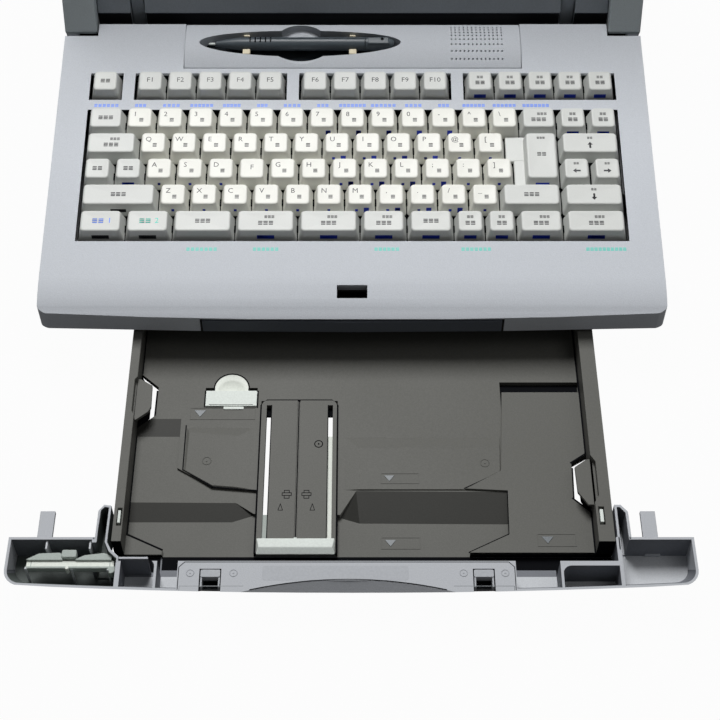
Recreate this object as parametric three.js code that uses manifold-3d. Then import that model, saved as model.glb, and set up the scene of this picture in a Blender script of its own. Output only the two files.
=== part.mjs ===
// Electronic word processor with a hinged display lid and a paper cassette pulled out of its front.
// Millimetres, +Z up, +X to the right, +Y to the back. Y = 0 is the middle of the letter row below
// the numbers, Z = 0 is the table. At the end the group is centred on its own box.
import * as THREE from 'three';
import { mergeVertices } from 'three/addons/utils/BufferGeometryUtils.js';
import Module from 'manifold-3d';

const wasm = await Module();
wasm.setup();

// Clearances and overruns
const clearance = 0.3;
const slideGap = 0.6;
const overrun = 1;
const degree = Math.PI / 180;

// Case
const bodyWidth = 374;
const bodyFront = -114.5;
const frontBow = 5;
const bodyBack = 275;
const caseWall = 2.5;
const cornerRadius = 6;
const footHeight = 3;
const footRadius = 8;
const footInset = 16;
const floorThickness = 2;
const partingHeight = 26;
const creaseHeight = 38;
const deckHeight = 63.1;
const deckAngle = 9 * degree;
const deckOriginY = 0.8;
const rollStart = -90;
const deckBack = 97.5;
const notchFront = 88;
const troughFloor = 64;
const caseSteps = 6;

// Rear housing
const rearFront = 136.5;
const rearShoulder = 86;
const rearSlope = 18;
const rearTop = 110;
const rearBackDrop = 12;
const coverFront = 162;
const coverBack = 262;
const coverMargin = 37;
const coverHalf = bodyWidth / 2 - coverMargin;
const coverThickness = 2.5;
const knobRadius = 24;
const knobWidth = 10;
const knobMargin = 18;
const knobX = coverHalf + knobMargin;

// Lid, in its own frame: hinge line at 0, +Y to the tail, +Z to the outer face
const hingeY = 109.4;
const hingeHeight = 93;
const lidTail = 23;
const lidTailBevel = 2;
const lidOuter = 16;
const lidRim = -12;
const lidRimWidth = 20.5;
const lidFrontRim = 12;
const lidWall = 2.5;
const bezelFace = -4;
const bezelThickness = 2.5;
const bezelBack = 11.4;
const lidLean = 112 * degree;
const screenWidth = 246;
const screenHeight = 154;
const screenBack = -38;
const screenChin = 26.5;
const lidFront = screenBack - screenHeight - screenChin;
const panelDepth = 7;

// Keyboard, in the deck frame: Y along the deck, Z square to it
const keyColumns = 17.5;
const keyMargin = 20.3125;
const keyPitch = (bodyWidth - 2 * keyMargin) / keyColumns;
const rowPitch = 19.05;
const keyGap = 0.75;
const keyTop = 5;
const keyBase = -4;
const keyTopInset = 2.6;
const keyTravel = 3;
const stemSize = 4;
const stemDepth = 9.5;
const webWidth = 5;
const webThickness = 1;
const wellMargin = 0.9;
const guideTop = -7.6;
const guideThickness = 1.2;
const domeTop = -12.9;
const domeThickness = 1;
const backPlateThickness = 1.2;
const functionRow = 2.5;

// Strip with the stylus recess and the speaker grille
const stripHalf = 108.7;
const stripFront = 62;
const stripBack = 97;
const stripCrown = 4;
const stripDepth = 12;
const recessLeft = -99;
const recessRight = 31;
const recessY = 80;
const recessHalf = 10.5;
const recessDepth = 8.3;
const scoopX = -33.5;
const scoopHalf = 15.5;
const penRadius = 4.7;
const penLeft = -93;
const penRight = 27;
const clipLeft = -68.5;
const clipRight = 0;
const grilleLeft = 63;
const grilleRight = 96;
const grilleColumns = 13;
const grilleRows = 8;
const grilleHole = 1.3;
const speakerRadius = 14;
const speakerDepth = 10;

// Cassette
const cassetteOut = 170;
const panelDepthY = 29.2;
const panelRim = 24;
const panelBottom = 3.6;
const panelWall = 2;
const panelLean = 11;
const trayLeftMargin = 55.6;
const trayRightMargin = 42.6;
const trayLeft = trayLeftMargin - bodyWidth / 2;
const trayRight = bodyWidth / 2 - trayRightMargin;
const trayLeftFlange = 5.3;
const trayRightFlange = 9;
const trayBottom = 5.8;
const trayFloor = 8;
const trayBack = 85;
const trayFrontY = -256.5;
const trayBackWall = 2;
const raisedStep = 1.6;
const railPlateLeft = -53.4;
const railPlateRight = -8.8;
const railPlateBack = -154;
const stopDepth = 8.5;
const stopHeight = 3.6;

// Handle
const handleHalf = 90;
const handleBottom = 27;
const handleTop = 38;
const handleDepth = 5;
const handleArm = 8;
const handleReach = 75;
const handleArmHeight = 5;

// Solids
function toSolid(geometry) {
  const plain = geometry.clone();
  plain.deleteAttribute('normal');
  plain.deleteAttribute('uv');
  const merged = mergeVertices(plain);
  return new wasm.Manifold(new wasm.Mesh({
    numProp: 3,
    vertProperties: new Float32Array(merged.attributes.position.array),
    triVerts: new Uint32Array(merged.index.array),
  }));
}

function toGeometry(solid) {
  const result = solid.getMesh();
  const geometry = new THREE.BufferGeometry();
  geometry.setAttribute('position', new THREE.BufferAttribute(result.vertProperties, 3));
  geometry.setIndex(new THREE.BufferAttribute(result.triVerts, 1));
  const flat = geometry.toNonIndexed();
  flat.computeVertexNormals();
  return flat;
}

// Box between two corners
function block(x0, x1, y0, y1, z0, z1) {
  const geometry = new THREE.BoxGeometry(x1 - x0, y1 - y0, z1 - z0);
  geometry.translate((x0 + x1) / 2, (y0 + y1) / 2, (z0 + z1) / 2);
  return toSolid(geometry);
}

// Outline in X and Y, raised from one height to another
function raised(shape, z0, z1, steps = caseSteps) {
  const settings = { depth: z1 - z0, bevelEnabled: false, curveSegments: steps };
  const geometry = new THREE.ExtrudeGeometry(shape, settings);
  geometry.translate(0, 0, z0);
  return toSolid(geometry);
}

// Side outline in Y and Z, drawn from the left end to the right end
function sideways(points, x0, x1, steps = caseSteps) {
  const shape = points instanceof THREE.Shape ? points : outline(points);
  const settings = { depth: x1 - x0, bevelEnabled: false, curveSegments: steps };
  const geometry = new THREE.ExtrudeGeometry(shape, settings);
  geometry.applyMatrix4(new THREE.Matrix4().set(0, 0, 1, x0, 1, 0, 0, 0, 0, 1, 0, 0, 0, 0, 0, 1));
  return toSolid(geometry);
}

function outline(points) {
  return new THREE.Shape(points.map(([a, b]) => new THREE.Vector2(a, b)));
}

function roundedBox(x0, x1, y0, y1, z0, z1, radius) {
  return raised(roundedOutline(x0, x1, y0, y1, radius), z0, z1);
}

function roundedOutline(x0, x1, y0, y1, radius) {
  const shape = new THREE.Shape();
  shape.absarc(x1 - radius, y0 + radius, radius, -Math.PI / 2, 0);
  shape.absarc(x1 - radius, y1 - radius, radius, 0, Math.PI / 2);
  shape.absarc(x0 + radius, y1 - radius, radius, Math.PI / 2, Math.PI);
  shape.absarc(x0 + radius, y0 + radius, radius, Math.PI, Math.PI * 1.5);
  return shape;
}

// Round bar along X, Y or Z from one end to the other
function bar(axis, radius, from, to, a, b, steps = 16) {
  const geometry = new THREE.CylinderGeometry(radius, radius, to - from, steps);
  const middle = (from + to) / 2;
  if (axis === 'x') {
    geometry.rotateZ(-Math.PI / 2);
    geometry.translate(middle, a, b);
  } else if (axis === 'y') {
    geometry.translate(a, middle, b);
  } else {
    geometry.rotateX(Math.PI / 2);
    geometry.translate(a, b, middle);
  }
  return toSolid(geometry);
}

function join(solids) {
  return solids.reduce((whole, solid) => whole.add(solid));
}

function cut(solid, tools) {
  return tools.reduce((rest, tool) => rest.subtract(tool), solid);
}

function tilt(solid, angle, y, z) {
  const matrix = new THREE.Matrix4().makeTranslation(0, y, z);
  matrix.multiply(new THREE.Matrix4().makeRotationX(angle));
  return toSolid(toGeometry(solid).applyMatrix4(matrix));
}

// The deck frame seen from the case
function onDeck(solid) {
  return tilt(solid, deckAngle, deckOriginY, deckHeight);
}

// Surfaces
function surface(color, roughness, metalness = 0) {
  return new THREE.MeshStandardMaterial({ color, roughness, metalness });
}

const looks = {
  deck: () => surface(0xb6bac0, 0.6),
  fascia: () => surface(0x69707a, 0.6),
  dark: () => surface(0x42464c, 0.5),
  tray: () => surface(0x5f5f5b, 0.55),
  panel: () => surface(0xacb0b4, 0.6),
  cheek: () => surface(0x767e80, 0.6),
  whiteKey: () => surface(0xf0f0e8, 0.5),
  greyKey: () => surface(0xc8cac6, 0.5),
  pale: () => surface(0xdee6e2, 0.45),
  steel: () => surface(0xa8abae, 0.35, 1),
  rubber: () => surface(0x26262a, 0.9),
  board: () => surface(0x1f5a3a, 0.6),
  glass: () => surface(0x6f7a6c, 0.15),
};

function piece(name, solid, material) {
  const mesh = new THREE.Mesh(toGeometry(solid), material);
  mesh.name = name;
  return mesh;
}

// Deck height above the table at a place along Y
function deckAt(y) {
  return deckHeight + (y - deckOriginY) * Math.tan(deckAngle);
}

const halfWidth = bodyWidth / 2;
const lidSide = halfWidth - lidRimWidth;
const trough = { front: deckBack, back: rearFront - clearance, side: lidSide - overrun };

// Plan of the case with its bowed front edge
function bodyOutline(inset, back = bodyBack) {
  const half = halfWidth - inset;
  const front = bodyFront + inset;
  const radius = cornerRadius;
  const shape = new THREE.Shape();
  shape.moveTo(-half + radius, front);
  shape.quadraticCurveTo(0, front - 2 * frontBow, half - radius, front);
  shape.absarc(half - radius, front + radius, radius, -Math.PI / 2, 0);
  shape.lineTo(half, back - inset);
  shape.lineTo(-half, back - inset);
  shape.lineTo(-half, front + radius);
  shape.absarc(-half + radius, front + radius, radius, Math.PI, Math.PI * 1.5);
  return shape;
}

// Side view of the upper case, moved in by a wall
function deckProfile(inset) {
  const front = bodyFront - frontBow + inset;
  const shape = new THREE.Shape();
  const open = inset > 0 ? overrun : 0;
  shape.moveTo(front, partingHeight - open);
  shape.lineTo(front, creaseHeight - inset);
  const rollTop = deckAt(rollStart) - inset;
  const reach = (rollStart - front) / 2;
  shape.quadraticCurveTo(rollStart - reach, rollTop - reach * Math.tan(deckAngle), rollStart, rollTop);
  shape.lineTo(trough.front - inset, deckAt(trough.front - inset) - inset);
  shape.lineTo(trough.front - inset, troughFloor - inset);
  shape.lineTo(trough.back + open, troughFloor - inset);
  shape.lineTo(trough.back + open, partingHeight - open);
  return shape;
}

// Wells in the deck, each from one key column to another between two row lines
const wells = [
  { from: 0, to: keyColumns, low: -3.5, high: 1.5 },
  { from: 0, to: 1, low: functionRow - 0.5, high: functionRow + 0.5 },
  { from: 1.5, to: 6.5, low: functionRow - 0.5, high: functionRow + 0.5 },
  { from: 7, to: 12, low: functionRow - 0.5, high: functionRow + 0.5 },
  { from: 12.5, to: keyColumns, low: functionRow - 0.5, high: functionRow + 0.5 },
];

function columnX(column) {
  return (column - keyColumns / 2) * keyPitch;
}

function wellCuts() {
  return wells.map(({ from, to, low, high }) => onDeck(block(
    columnX(from) - wellMargin,
    columnX(to) + wellMargin,
    low * rowPitch - wellMargin,
    high * rowPitch + wellMargin,
    guideTop - overrun,
    keyTop,
  )));
}

// Latch slot, disk slot, dial slot and handle mouth of the upper case
const latchSlot = { half: 9, front: -104, back: -96, depth: 12 };
const drive = { left: halfWidth - 133, front: -20, back: 82, bottom: 27.2, top: 43.6, lip: 0.4 };
const diskSlot = { front: -12, back: 80, bottom: 37, top: 42, depth: 60 };
const ejectButton = { y: -2, half: 5, bottom: 31, top: 35, depth: 14, proud: 1.6, travel: 4 };
const dial = { y: 50, z: 50, radius: 10, thickness: 4, hub: 3, proud: 1.6 };

function makeUpperCase() {
  const outer = sideways(deckProfile(0), -halfWidth, halfWidth)
    .intersect(raised(bodyOutline(0), partingHeight, rearTop));
  const hollow = sideways(deckProfile(caseWall), -halfWidth + caseWall, halfWidth - caseWall)
    .intersect(raised(bodyOutline(caseWall), partingHeight - overrun, rearTop));
  const notchWalls = [-1, 1].map((side) => block(
    Math.min(side * (trough.side - caseWall), side * halfWidth),
    Math.max(side * (trough.side - caseWall), side * halfWidth),
    notchFront - caseWall,
    deckBack,
    troughFloor - caseWall,
    rearTop,
  ));
  const notches = [-1, 1].map((side) => block(
    Math.min(side * trough.side, side * (halfWidth + overrun)),
    Math.max(side * trough.side, side * (halfWidth + overrun)),
    notchFront,
    deckBack + overrun,
    troughFloor,
    rearTop,
  ));
  const bracketSlots = [-1, 1].map((side) => block(
    side * bracket.x - bracket.width / 2 - clearance,
    side * bracket.x + bracket.width / 2 + clearance,
    hingeY - bracket.arm / 2 - clearance,
    hingeY + bracket.arm / 2 + clearance,
    partingHeight,
    troughFloor + overrun,
  ));
  return cut(outer, [
    cut(hollow, notchWalls),
    ...notches,
    ...bracketSlots,
    ...wellCuts(),
    block(-stripHalf, stripHalf, stripFront, deckBack + overrun, deckAt(stripFront) - stripDepth, rearTop),
    block(-latchSlot.half, latchSlot.half, latchSlot.front, latchSlot.back, creaseHeight, deckHeight),
    block(-handleHalf - slideGap, handleHalf + slideGap, bodyFront - frontBow - overrun,
      bodyFront + caseWall + overrun, partingHeight - overrun, handleTop - overrun + slideGap),
    block(halfWidth - caseWall - overrun, halfWidth + overrun, drive.front - clearance,
      drive.back + clearance, drive.bottom - clearance, drive.top + clearance),
    block(-halfWidth - overrun, -halfWidth + caseWall + overrun, dial.y - dial.radius,
      dial.y + dial.radius, dial.z - clearance, dial.z + dial.thickness + clearance),
  ]);
}

// Hinge brackets rise from the chassis plate to the hinge line
const bracket = { x: halfWidth - 47, width: 8, arm: 7, pin: 2, pinLength: 22, barrel: 3.5 };
const chassis = { thickness: 1.2, front: -52, side: 3.2 };
const chassisTop = partingHeight + chassis.thickness;

function makeBracket(side) {
  const x = side * bracket.x;
  const left = x - bracket.width / 2;
  const right = x + bracket.width / 2;
  return join([
    block(left, right, hingeY - bracket.arm / 2, hingeY + bracket.arm / 2, chassisTop, hingeHeight),
    bar('x', bracket.barrel, left, right, hingeY, hingeHeight),
    bar('x', bracket.pin, x - bracket.pinLength / 2, x + bracket.pinLength / 2, hingeY, hingeHeight, 12),
  ]);
}

// Lower case: floor, side and back walls, and the two rails beside the tray
const lowerFront = -84;
const rail = { gap: slideGap, thickness: 2, front: -50 };
const inlet = { x: 27 - halfWidth, half: 12, bottom: 8, top: 24, depth: 22 };
const powerSwitch = { x: halfWidth - 22, half: 8, bottom: 10, top: 22, depth: 14, proud: 1.4 };

function makeLowerCase() {
  const back = bodyBack;
  const shell = cut(
    block(-halfWidth, halfWidth, lowerFront, back, footHeight, partingHeight),
    [block(-halfWidth + caseWall, halfWidth - caseWall, lowerFront - overrun, back - caseWall,
      footHeight + floorThickness, partingHeight + overrun)],
  );
  const left = trayLeft - rail.gap - rail.thickness;
  const right = trayRight + rail.gap;
  const rails = [left, right].map((x) => block(x, x + rail.thickness, rail.front, back - caseWall,
    footHeight, partingHeight));
  return cut(join([shell, ...rails]), [
    block(inlet.x - inlet.half - clearance, inlet.x + inlet.half + clearance, back - caseWall - overrun,
      back + overrun, inlet.bottom - clearance, inlet.top + clearance),
    block(powerSwitch.x - powerSwitch.half - clearance, powerSwitch.x + powerSwitch.half + clearance,
      back - caseWall - overrun, back + overrun, powerSwitch.bottom - clearance,
        powerSwitch.top + clearance),
  ]);
}

function makeChassis() {
  const side = halfWidth - chassis.side;
  const plate = block(-side, side, chassis.front, bodyBack - chassis.side, partingHeight, chassisTop);
  const reach = pickup.half + overrun;
  const hole = block(-reach, reach, pickup.y - pickup.radius - overrun, pickup.y + pickup.radius + overrun,
    partingHeight - overrun, chassisTop + overrun);
  return plate.subtract(hole);
}

function makeFoot(x, y) {
  return bar('z', footRadius, 0, footHeight, x, y);
}

// Rear housing with the printer inside
const platen = { y: 205, z: 84, radius: 11, half: coverHalf - 14, shaft: 4, gear: 15, gearWidth: 5 };
const frame = { side: coverHalf - 9, thickness: 1.5, front: 158, back: 255, top: 100, deck: 62 };
const railBar = { y: 176, z: 78, radius: 4 };
const carriage = { half: 22, front: 166, back: 189, bottom: 70, top: 92, travel: 105 };
const ribbon = { half: 30, height: 8 };
const pickup = { y: 235, z: 32.5, radius: 7, shaft: 2.5, half: 60 };

function makeRearCover() {
  const shape = (inset) => outline([
    [rearFront + inset, partingHeight - (inset > 0 ? overrun : 0)],
    [rearFront + inset, rearShoulder - inset / 2],
    [rearFront + rearSlope + inset / 2, rearTop - inset],
    [coverBack + cornerRadius, rearTop - inset],
    [bodyBack - inset, rearTop - rearBackDrop],
    [bodyBack - inset, partingHeight - (inset > 0 ? overrun : 0)],
  ]);
  const outer = sideways(shape(0), -halfWidth, halfWidth);
  const hollow = sideways(shape(caseWall), -halfWidth + caseWall, halfWidth - caseWall);
  const mouth = block(rearMouth.left, rearMouth.right, rearFront - overrun, rearFront + caseWall + overrun,
    partingHeight - overrun, troughFloor - caseWall);
  const vents = ventShares.map((share) => block(
    share * bodyWidth - vent.width / 2,
    share * bodyWidth + vent.width / 2,
    bodyBack - caseWall - overrun,
    bodyBack + overrun,
    vent.bottom,
    vent.top,
  ));
  return cut(outer, [
    hollow,
    mouth,
    block(-coverHalf, coverHalf, coverFront, coverBack, rearTop - caseWall - overrun, rearTop + overrun),
    block(knobX - knobWidth / 2 - slideGap, knobX + knobWidth / 2 + slideGap, platen.y - knobRadius,
      platen.y + knobRadius, rearTop - caseWall - overrun, rearTop + overrun),
    ...vents,
  ]);
}

const rearMouth = { left: -halfWidth + caseWall, right: halfWidth - caseWall };
const vent = { width: 6, bottom: 40, top: 70 };
const ventShares = [-0.3, -0.265, -0.23, -0.195, -0.16, -0.125];

function makePrinterCover() {
  const gap = clearance;
  const plate = block(-coverHalf + gap, coverHalf - gap, coverFront + gap, coverBack - gap,
    rearTop - coverThickness, rearTop);
  const slot = block(-paperSlot.half, paperSlot.half, paperSlot.front, paperSlot.back,
    rearTop - coverThickness - overrun, rearTop + overrun);
  return cut(plate, [slot]);
}

const paperSlot = { half: coverHalf - 18, front: 218, back: 230 };

function makePlaten() {
  return join([
    bar('x', platen.radius, -platen.half, platen.half, platen.y, platen.z, 24),
    bar('x', platen.shaft, -frame.side - gearPlace.shaftEnd, knobX + knobWidth / 2, platen.y, platen.z, 12),
  ]);
}

const gearPlace = { gap: 2, shaftEnd: 12 };

function makePlatenGear() {
  const right = -frame.side - frame.thickness - gearPlace.gap;
  const left = right - platen.gearWidth;
  const bore = bar('x', platen.shaft + clearance, left - overrun, right + overrun, platen.y, platen.z, 12);
  return bar('x', platen.gear, left, right, platen.y, platen.z, 24).subtract(bore);
}

function makeKnob() {
  const left = knobX - knobWidth / 2;
  const right = knobX + knobWidth / 2;
  const grips = [];
  for (let turn = 0; turn < knobGrips.count; turn += 1) {
    const angle = (turn / knobGrips.count) * Math.PI * 2;
    grips.push(bar('x', knobGrips.radius, left - overrun, right + overrun,
      platen.y + knobReach * Math.cos(angle), platen.z + knobReach * Math.sin(angle), 8));
  }
  const bore = bar('x', platen.shaft + clearance, left - overrun, right + overrun, platen.y, platen.z, 12);
  return cut(bar('x', knobReach, left, right, platen.y, platen.z, 36), [bore, ...grips]);
}

const knobReach = rearTop + 1.4 * overrun - platen.z;
const knobGrips = { count: 18, radius: 1.5 };

function makePrinterFrame() {
  const sides = [-1, 1].map((side) => block(
    side * frame.side - (side < 0 ? frame.thickness : 0),
    side * frame.side + (side < 0 ? 0 : frame.thickness),
    frame.front,
    frame.back,
    chassisTop,
    frame.top,
  ));
  const deck = block(-frame.side, frame.side, frame.front, frame.back, frame.deck,
    frame.deck + frame.thickness);
  const reach = frame.side + frame.thickness + overrun;
  const well = block(-pickup.half, pickup.half, pickup.y - pickup.radius, pickup.y + pickup.radius,
    frame.deck - overrun, frame.deck + frame.thickness + overrun);
  return cut(join([...sides, deck]), [
    bar('x', platen.shaft + clearance, -reach, reach, platen.y, platen.z, 12),
    bar('x', railBar.radius + clearance, -reach, reach, railBar.y, railBar.z, 12),
    bar('x', pickup.shaft + clearance, -reach, reach, pickup.y, pickup.z, 12),
    well,
  ]);
}

function makeCarriageRail() {
  return bar('x', railBar.radius, -frame.side - frame.thickness, frame.side + frame.thickness,
    railBar.y, railBar.z, 12);
}

function makeCarriage() {
  const body = block(-carriage.half, carriage.half, carriage.front, carriage.back, carriage.bottom,
    carriage.top);
  const bore = bar('x', railBar.radius + clearance, -carriage.half - overrun, carriage.half + overrun,
    railBar.y, railBar.z, 12);
  return body.subtract(bore);
}

function makeRibbonCartridge() {
  return roundedBox(-ribbon.half, ribbon.half, carriage.front, carriage.back, carriage.top + clearance,
    carriage.top + clearance + ribbon.height, cornerRadius);
}

function makePickupRoller() {
  return join([
    bar('x', pickup.radius, -pickup.half, pickup.half, pickup.y, pickup.z, 16),
    bar('x', pickup.shaft, -frame.side - frame.thickness, frame.side + frame.thickness, pickup.y,
      pickup.z, 12),
  ]);
}

const supply = { left: 14 - coverHalf, right: -20, front: 162, back: 225, height: 26 };
const motor = { radius: 13, length: 22 };

function makeFeedMotor() {
  const right = -frame.side - frame.thickness;
  const left = right - motor.length;
  return bar('x', motor.radius, left, right, motorAxis.y, motorAxis.z, 20);
}

const motorAxis = { y: platen.y, z: platen.z - platen.gear - motor.radius - slideGap };

function makePowerSupply() {
  return block(supply.left, supply.right, supply.front, supply.back, chassisTop,
    chassisTop + supply.height);
}

// One key cap with its stem, from one column to another on a row line
function makeCap(from, to, row, rows = 1) {
  const half = { x: ((to - from) * keyPitch - keyGap) / 2, y: (rows * rowPitch - keyGap) / 2 };
  const middle = { x: columnX((from + to) / 2), y: row * rowPitch };
  const geometry = new THREE.BoxGeometry(1, 1, 1);
  const points = geometry.attributes.position;
  for (let index = 0; index < points.count; index += 1) {
    const top = points.getZ(index) > 0;
    const inset = top ? keyTopInset : 0;
    points.setXYZ(
      index,
      middle.x + Math.sign(points.getX(index)) * (half.x - inset),
      middle.y + Math.sign(points.getY(index)) * (half.y - inset),
      top ? keyTop : keyBase,
    );
  }
  const stem = block(middle.x - stemSize / 2, middle.x + stemSize / 2, middle.y - stemSize / 2,
    middle.y + stemSize / 2, -stemDepth, keyBase + overrun);
  return toSolid(geometry).add(stem);
}

// Rows of caps. A row lists its widths in key units; a bank is a run of caps on one carrier
const row = { numbers: 1, letters: 0, home: -1, lower: -2, bottom: -3, functions: functionRow };
const banks = {
  function_keys: {
    row: row.functions,
    starts: 1.5,
    widths: [1, 1, 1, 1, 1, 0.5, 1, 1, 1, 1, 1, 0.5, 1, 1, 1, 1, 1],
    gaps: [5, 11],
  },
  number_keys: { row: row.numbers, starts: 0, widths: [1.25, ...Array(13).fill(1), 1.25, 1, 1], gaps: [] },
  letter_keys: { row: row.letters, starts: 1.75, widths: Array(12).fill(1), gaps: [] },
  home_keys: { row: row.home, starts: 0, widths: Array(14).fill(1), gaps: [] },
  lower_keys: { row: row.lower, starts: 2.5, widths: Array(11).fill(1), gaps: [] },
  bottom_keys: { row: row.bottom, starts: 0, widths: [1.5, 1.5, 2, 2, 2, 1.5, 1.5, 1, 1, 1.5, 2],
    gaps: [] },
};
const whiteBanks = ['letter_keys', 'lower_keys', 'home_keys', 'number_keys'];

function makeBank({ row: line, starts, widths, gaps }) {
  const caps = [];
  let column = starts;
  widths.forEach((width, index) => {
    if (!gaps.includes(index)) {
      caps.push(makeCap(column, column + width, line));
    }
    column += width;
  });
  const web = block(columnX(starts) + keyPitch / 2, columnX(column) - keyPitch / 2,
    line * rowPitch - webWidth / 2, line * rowPitch + webWidth / 2, keyBase, keyBase + webThickness);
  return join([...caps, web]);
}

// Return key: a tall right-hand part with a low step to its left on both rows
const enter = { left: 14.3, right: 15.5, upperStep: 13.75, lowerStep: 14, stepDrop: 6 };

function makeEnterKey() {
  const tall = makeCap(enter.left, enter.right, (row.letters + row.home) / 2, 2);
  const stepTop = keyTop - enter.stepDrop;
  const reach = (rowPitch - keyGap) / 2;
  const right = columnX(enter.left) + keyTopInset;
  const upper = block(columnX(enter.upperStep) + keyGap / 2, right, row.letters * rowPitch - reach,
    row.letters * rowPitch + reach, keyBase, stepTop);
  const lower = block(columnX(enter.lowerStep) + keyGap / 2, right, row.home * rowPitch - reach,
    row.letters * rowPitch, keyBase, stepTop);
  return join([tall, upper, lower]);
}

// The four arrow keys stand in three rows on one carrier
const arrows = [
  { from: 15.5, to: 17.5, line: row.letters },
  { from: 15.5, to: 16.5, line: row.home },
  { from: 16.5, to: 17.5, line: row.home },
  { from: 15.5, to: 17.5, line: row.lower },
];

function makeArrowKeys() {
  const caps = arrows.map(({ from, to, line }) => makeCap(from, to, line));
  const middle = columnX((arrows[0].from + arrows[0].to) / 2);
  const spine = block(middle - webWidth / 2, middle + webWidth / 2, row.lower * rowPitch,
    row.letters * rowPitch,
    keyBase, keyBase + webThickness);
  return join([...caps, spine]);
}

const singleKeys = {
  esc_key: [0, 1, row.functions],
  tab_key: [0, 1.75, row.letters],
  left_shift_key: [0, 2.5, row.lower],
  right_shift_key: [13.5, 15.5, row.lower],
};

// Every key centre, as column and row, for the stem guides
function keyCentres() {
  const centres = Object.values(singleKeys).map(([from, to, line]) => [(from + to) / 2, line]);
  Object.values(banks).forEach(({ row: line, starts, widths, gaps }) => {
    let column = starts;
    widths.forEach((width, index) => {
      if (!gaps.includes(index)) {
        centres.push([column + width / 2, line]);
      }
      column += width;
    });
  });
  centres.push([(enter.left + enter.right) / 2, (row.letters + row.home) / 2]);
  arrows.forEach(({ from, to, line }) => centres.push([(from + to) / 2, line]));
  return centres;
}

const field = {
  left: columnX(0) - wellMargin,
  right: columnX(keyColumns) + wellMargin,
  front: (row.bottom - 0.5) * rowPitch - wellMargin,
  back: (row.functions + 0.5) * rowPitch + wellMargin,
};

// Guide frame: a plate with a square hole for each stem, on a skirt that stands on the dome sheet
function makeGuideFrame() {
  const skirt = caseWall;
  const plate = block(field.left, field.right, field.front, field.back, domeTop + clearance, guideTop);
  const hollow = block(field.left + skirt, field.right - skirt, field.front + skirt, field.back - skirt,
    domeTop - overrun, guideTop - guideThickness);
  const hole = stemSize / 2 + clearance;
  const sockets = keyCentres().map(([column, line]) => block(columnX(column) - hole, columnX(column) + hole,
    line * rowPitch - hole, line * rowPitch + hole, guideTop - guideThickness - overrun,
      guideTop + overrun));
  return cut(plate, [hollow, ...sockets]);
}

function makeDomeSheet() {
  return block(field.left, field.right, field.front, field.back, domeTop - domeThickness, domeTop);
}

// Steel back plate under the keys, bent down at the front and back to stand on the chassis plate
function makeKeyboardPlate() {
  const t = backPlateThickness;
  const top = domeTop - domeThickness - clearance;
  const place = (v, w) => {
    const y = deckOriginY + v * Math.cos(deckAngle) - w * Math.sin(deckAngle);
    const z = deckHeight + v * Math.sin(deckAngle) + w * Math.cos(deckAngle);
    return [y, z];
  };
  const frontTop = place(field.front, top);
  const backTop = place(field.back, top);
  const frontLow = place(field.front + t, top - t);
  const backLow = place(field.back - t, top - t);
  const section = outline([
    [frontTop[0], chassisTop],
    [frontTop[0] + t, chassisTop],
    [frontTop[0] + t, frontLow[1]],
    [backLow[0] - t, backLow[1]],
    [backLow[0] - t, chassisTop],
    [backLow[0], chassisTop],
    [backTop[0], backTop[1]],
    [frontTop[0], frontTop[1]],
  ]);
  const plate = sideways(section, field.left, field.right);
  const armGates = [-handleHalf, handleHalf - handleArm].map((x) => block(x - slideGap,
    x + handleArm + slideGap,
    frontTop[0] - overrun, frontTop[0] + t + overrun, partingHeight, chassisTop + 2 * handleArmHeight));
  const notch = block(drive.left - overrun, field.right + overrun, drive.front - overrun,
    drive.back + overrun,
    partingHeight, drive.top + overrun);
  return cut(plate, [notch, ...armGates]);
}

const board = { left: 23 - halfWidth, right: drive.left - 10, front: -48, back: 54, height: 6,
  thickness: 1.6, boss: 3, inset: 8 };

function makeMainBoard() {
  const z = chassisTop + board.height;
  const posts = [];
  for (const x of [board.left + board.inset, board.right - board.inset]) {
    for (const y of [board.front + board.inset, board.back - board.inset]) {
      posts.push(bar('z', board.boss, chassisTop, z + board.thickness / 2, x, y, 10));
    }
  }
  const plate = block(board.left, board.right, board.front, board.back, z, z + board.thickness);
  return join([plate, ...posts]);
}

function makeDrive() {
  const body = block(drive.left, halfWidth - drive.lip, drive.front, drive.back, drive.bottom, drive.top);
  const slot = block(halfWidth - diskSlot.depth, halfWidth + overrun, diskSlot.front, diskSlot.back,
    diskSlot.bottom, diskSlot.top);
  const buttonBore = block(halfWidth - ejectButton.depth - ejectButton.travel - clearance,
    halfWidth + overrun,
    ejectButton.y - ejectButton.half - clearance, ejectButton.y + ejectButton.half + clearance,
    ejectButton.bottom - clearance, ejectButton.top + clearance);
  return cut(body, [slot, buttonBore]);
}

function makeEjectButton() {
  return block(halfWidth - ejectButton.depth, halfWidth + ejectButton.proud,
    ejectButton.y - ejectButton.half,
    ejectButton.y + ejectButton.half, ejectButton.bottom, ejectButton.top);
}

function makeDial() {
  const x = -halfWidth - dial.proud + dial.radius;
  const wheel = bar('z', dial.radius, dial.z, dial.z + dial.thickness, x, dial.y, 28);
  return wheel.add(bar('z', dial.hub, chassisTop + clearance, dial.z + overrun, x, dial.y, 12));
}

// Crowned strip above the function keys
const speakerPlace = { x: (grilleLeft + grilleRight) / 2, y: recessY };
const penAxis = 2;

function stripSection() {
  const front = stripFront + clearance;
  const back = deckBack;
  const middle = (front + back) / 2;
  const shape = new THREE.Shape();
  shape.moveTo(front, deckAt(stripFront) - stripDepth + clearance);
  shape.lineTo(front, deckAt(front));
  shape.quadraticCurveTo(middle, deckAt(middle) + 2 * stripCrown, back, deckAt(back));
  shape.lineTo(back, deckAt(stripFront) - stripDepth + clearance);
  return shape;
}

function recessOutline() {
  const shape = new THREE.Shape();
  shape.absellipse((recessLeft + recessRight) / 2, recessY, (recessRight - recessLeft) / 2, recessHalf,
    0, Math.PI * 2, false, 0);
  return shape;
}

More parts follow.
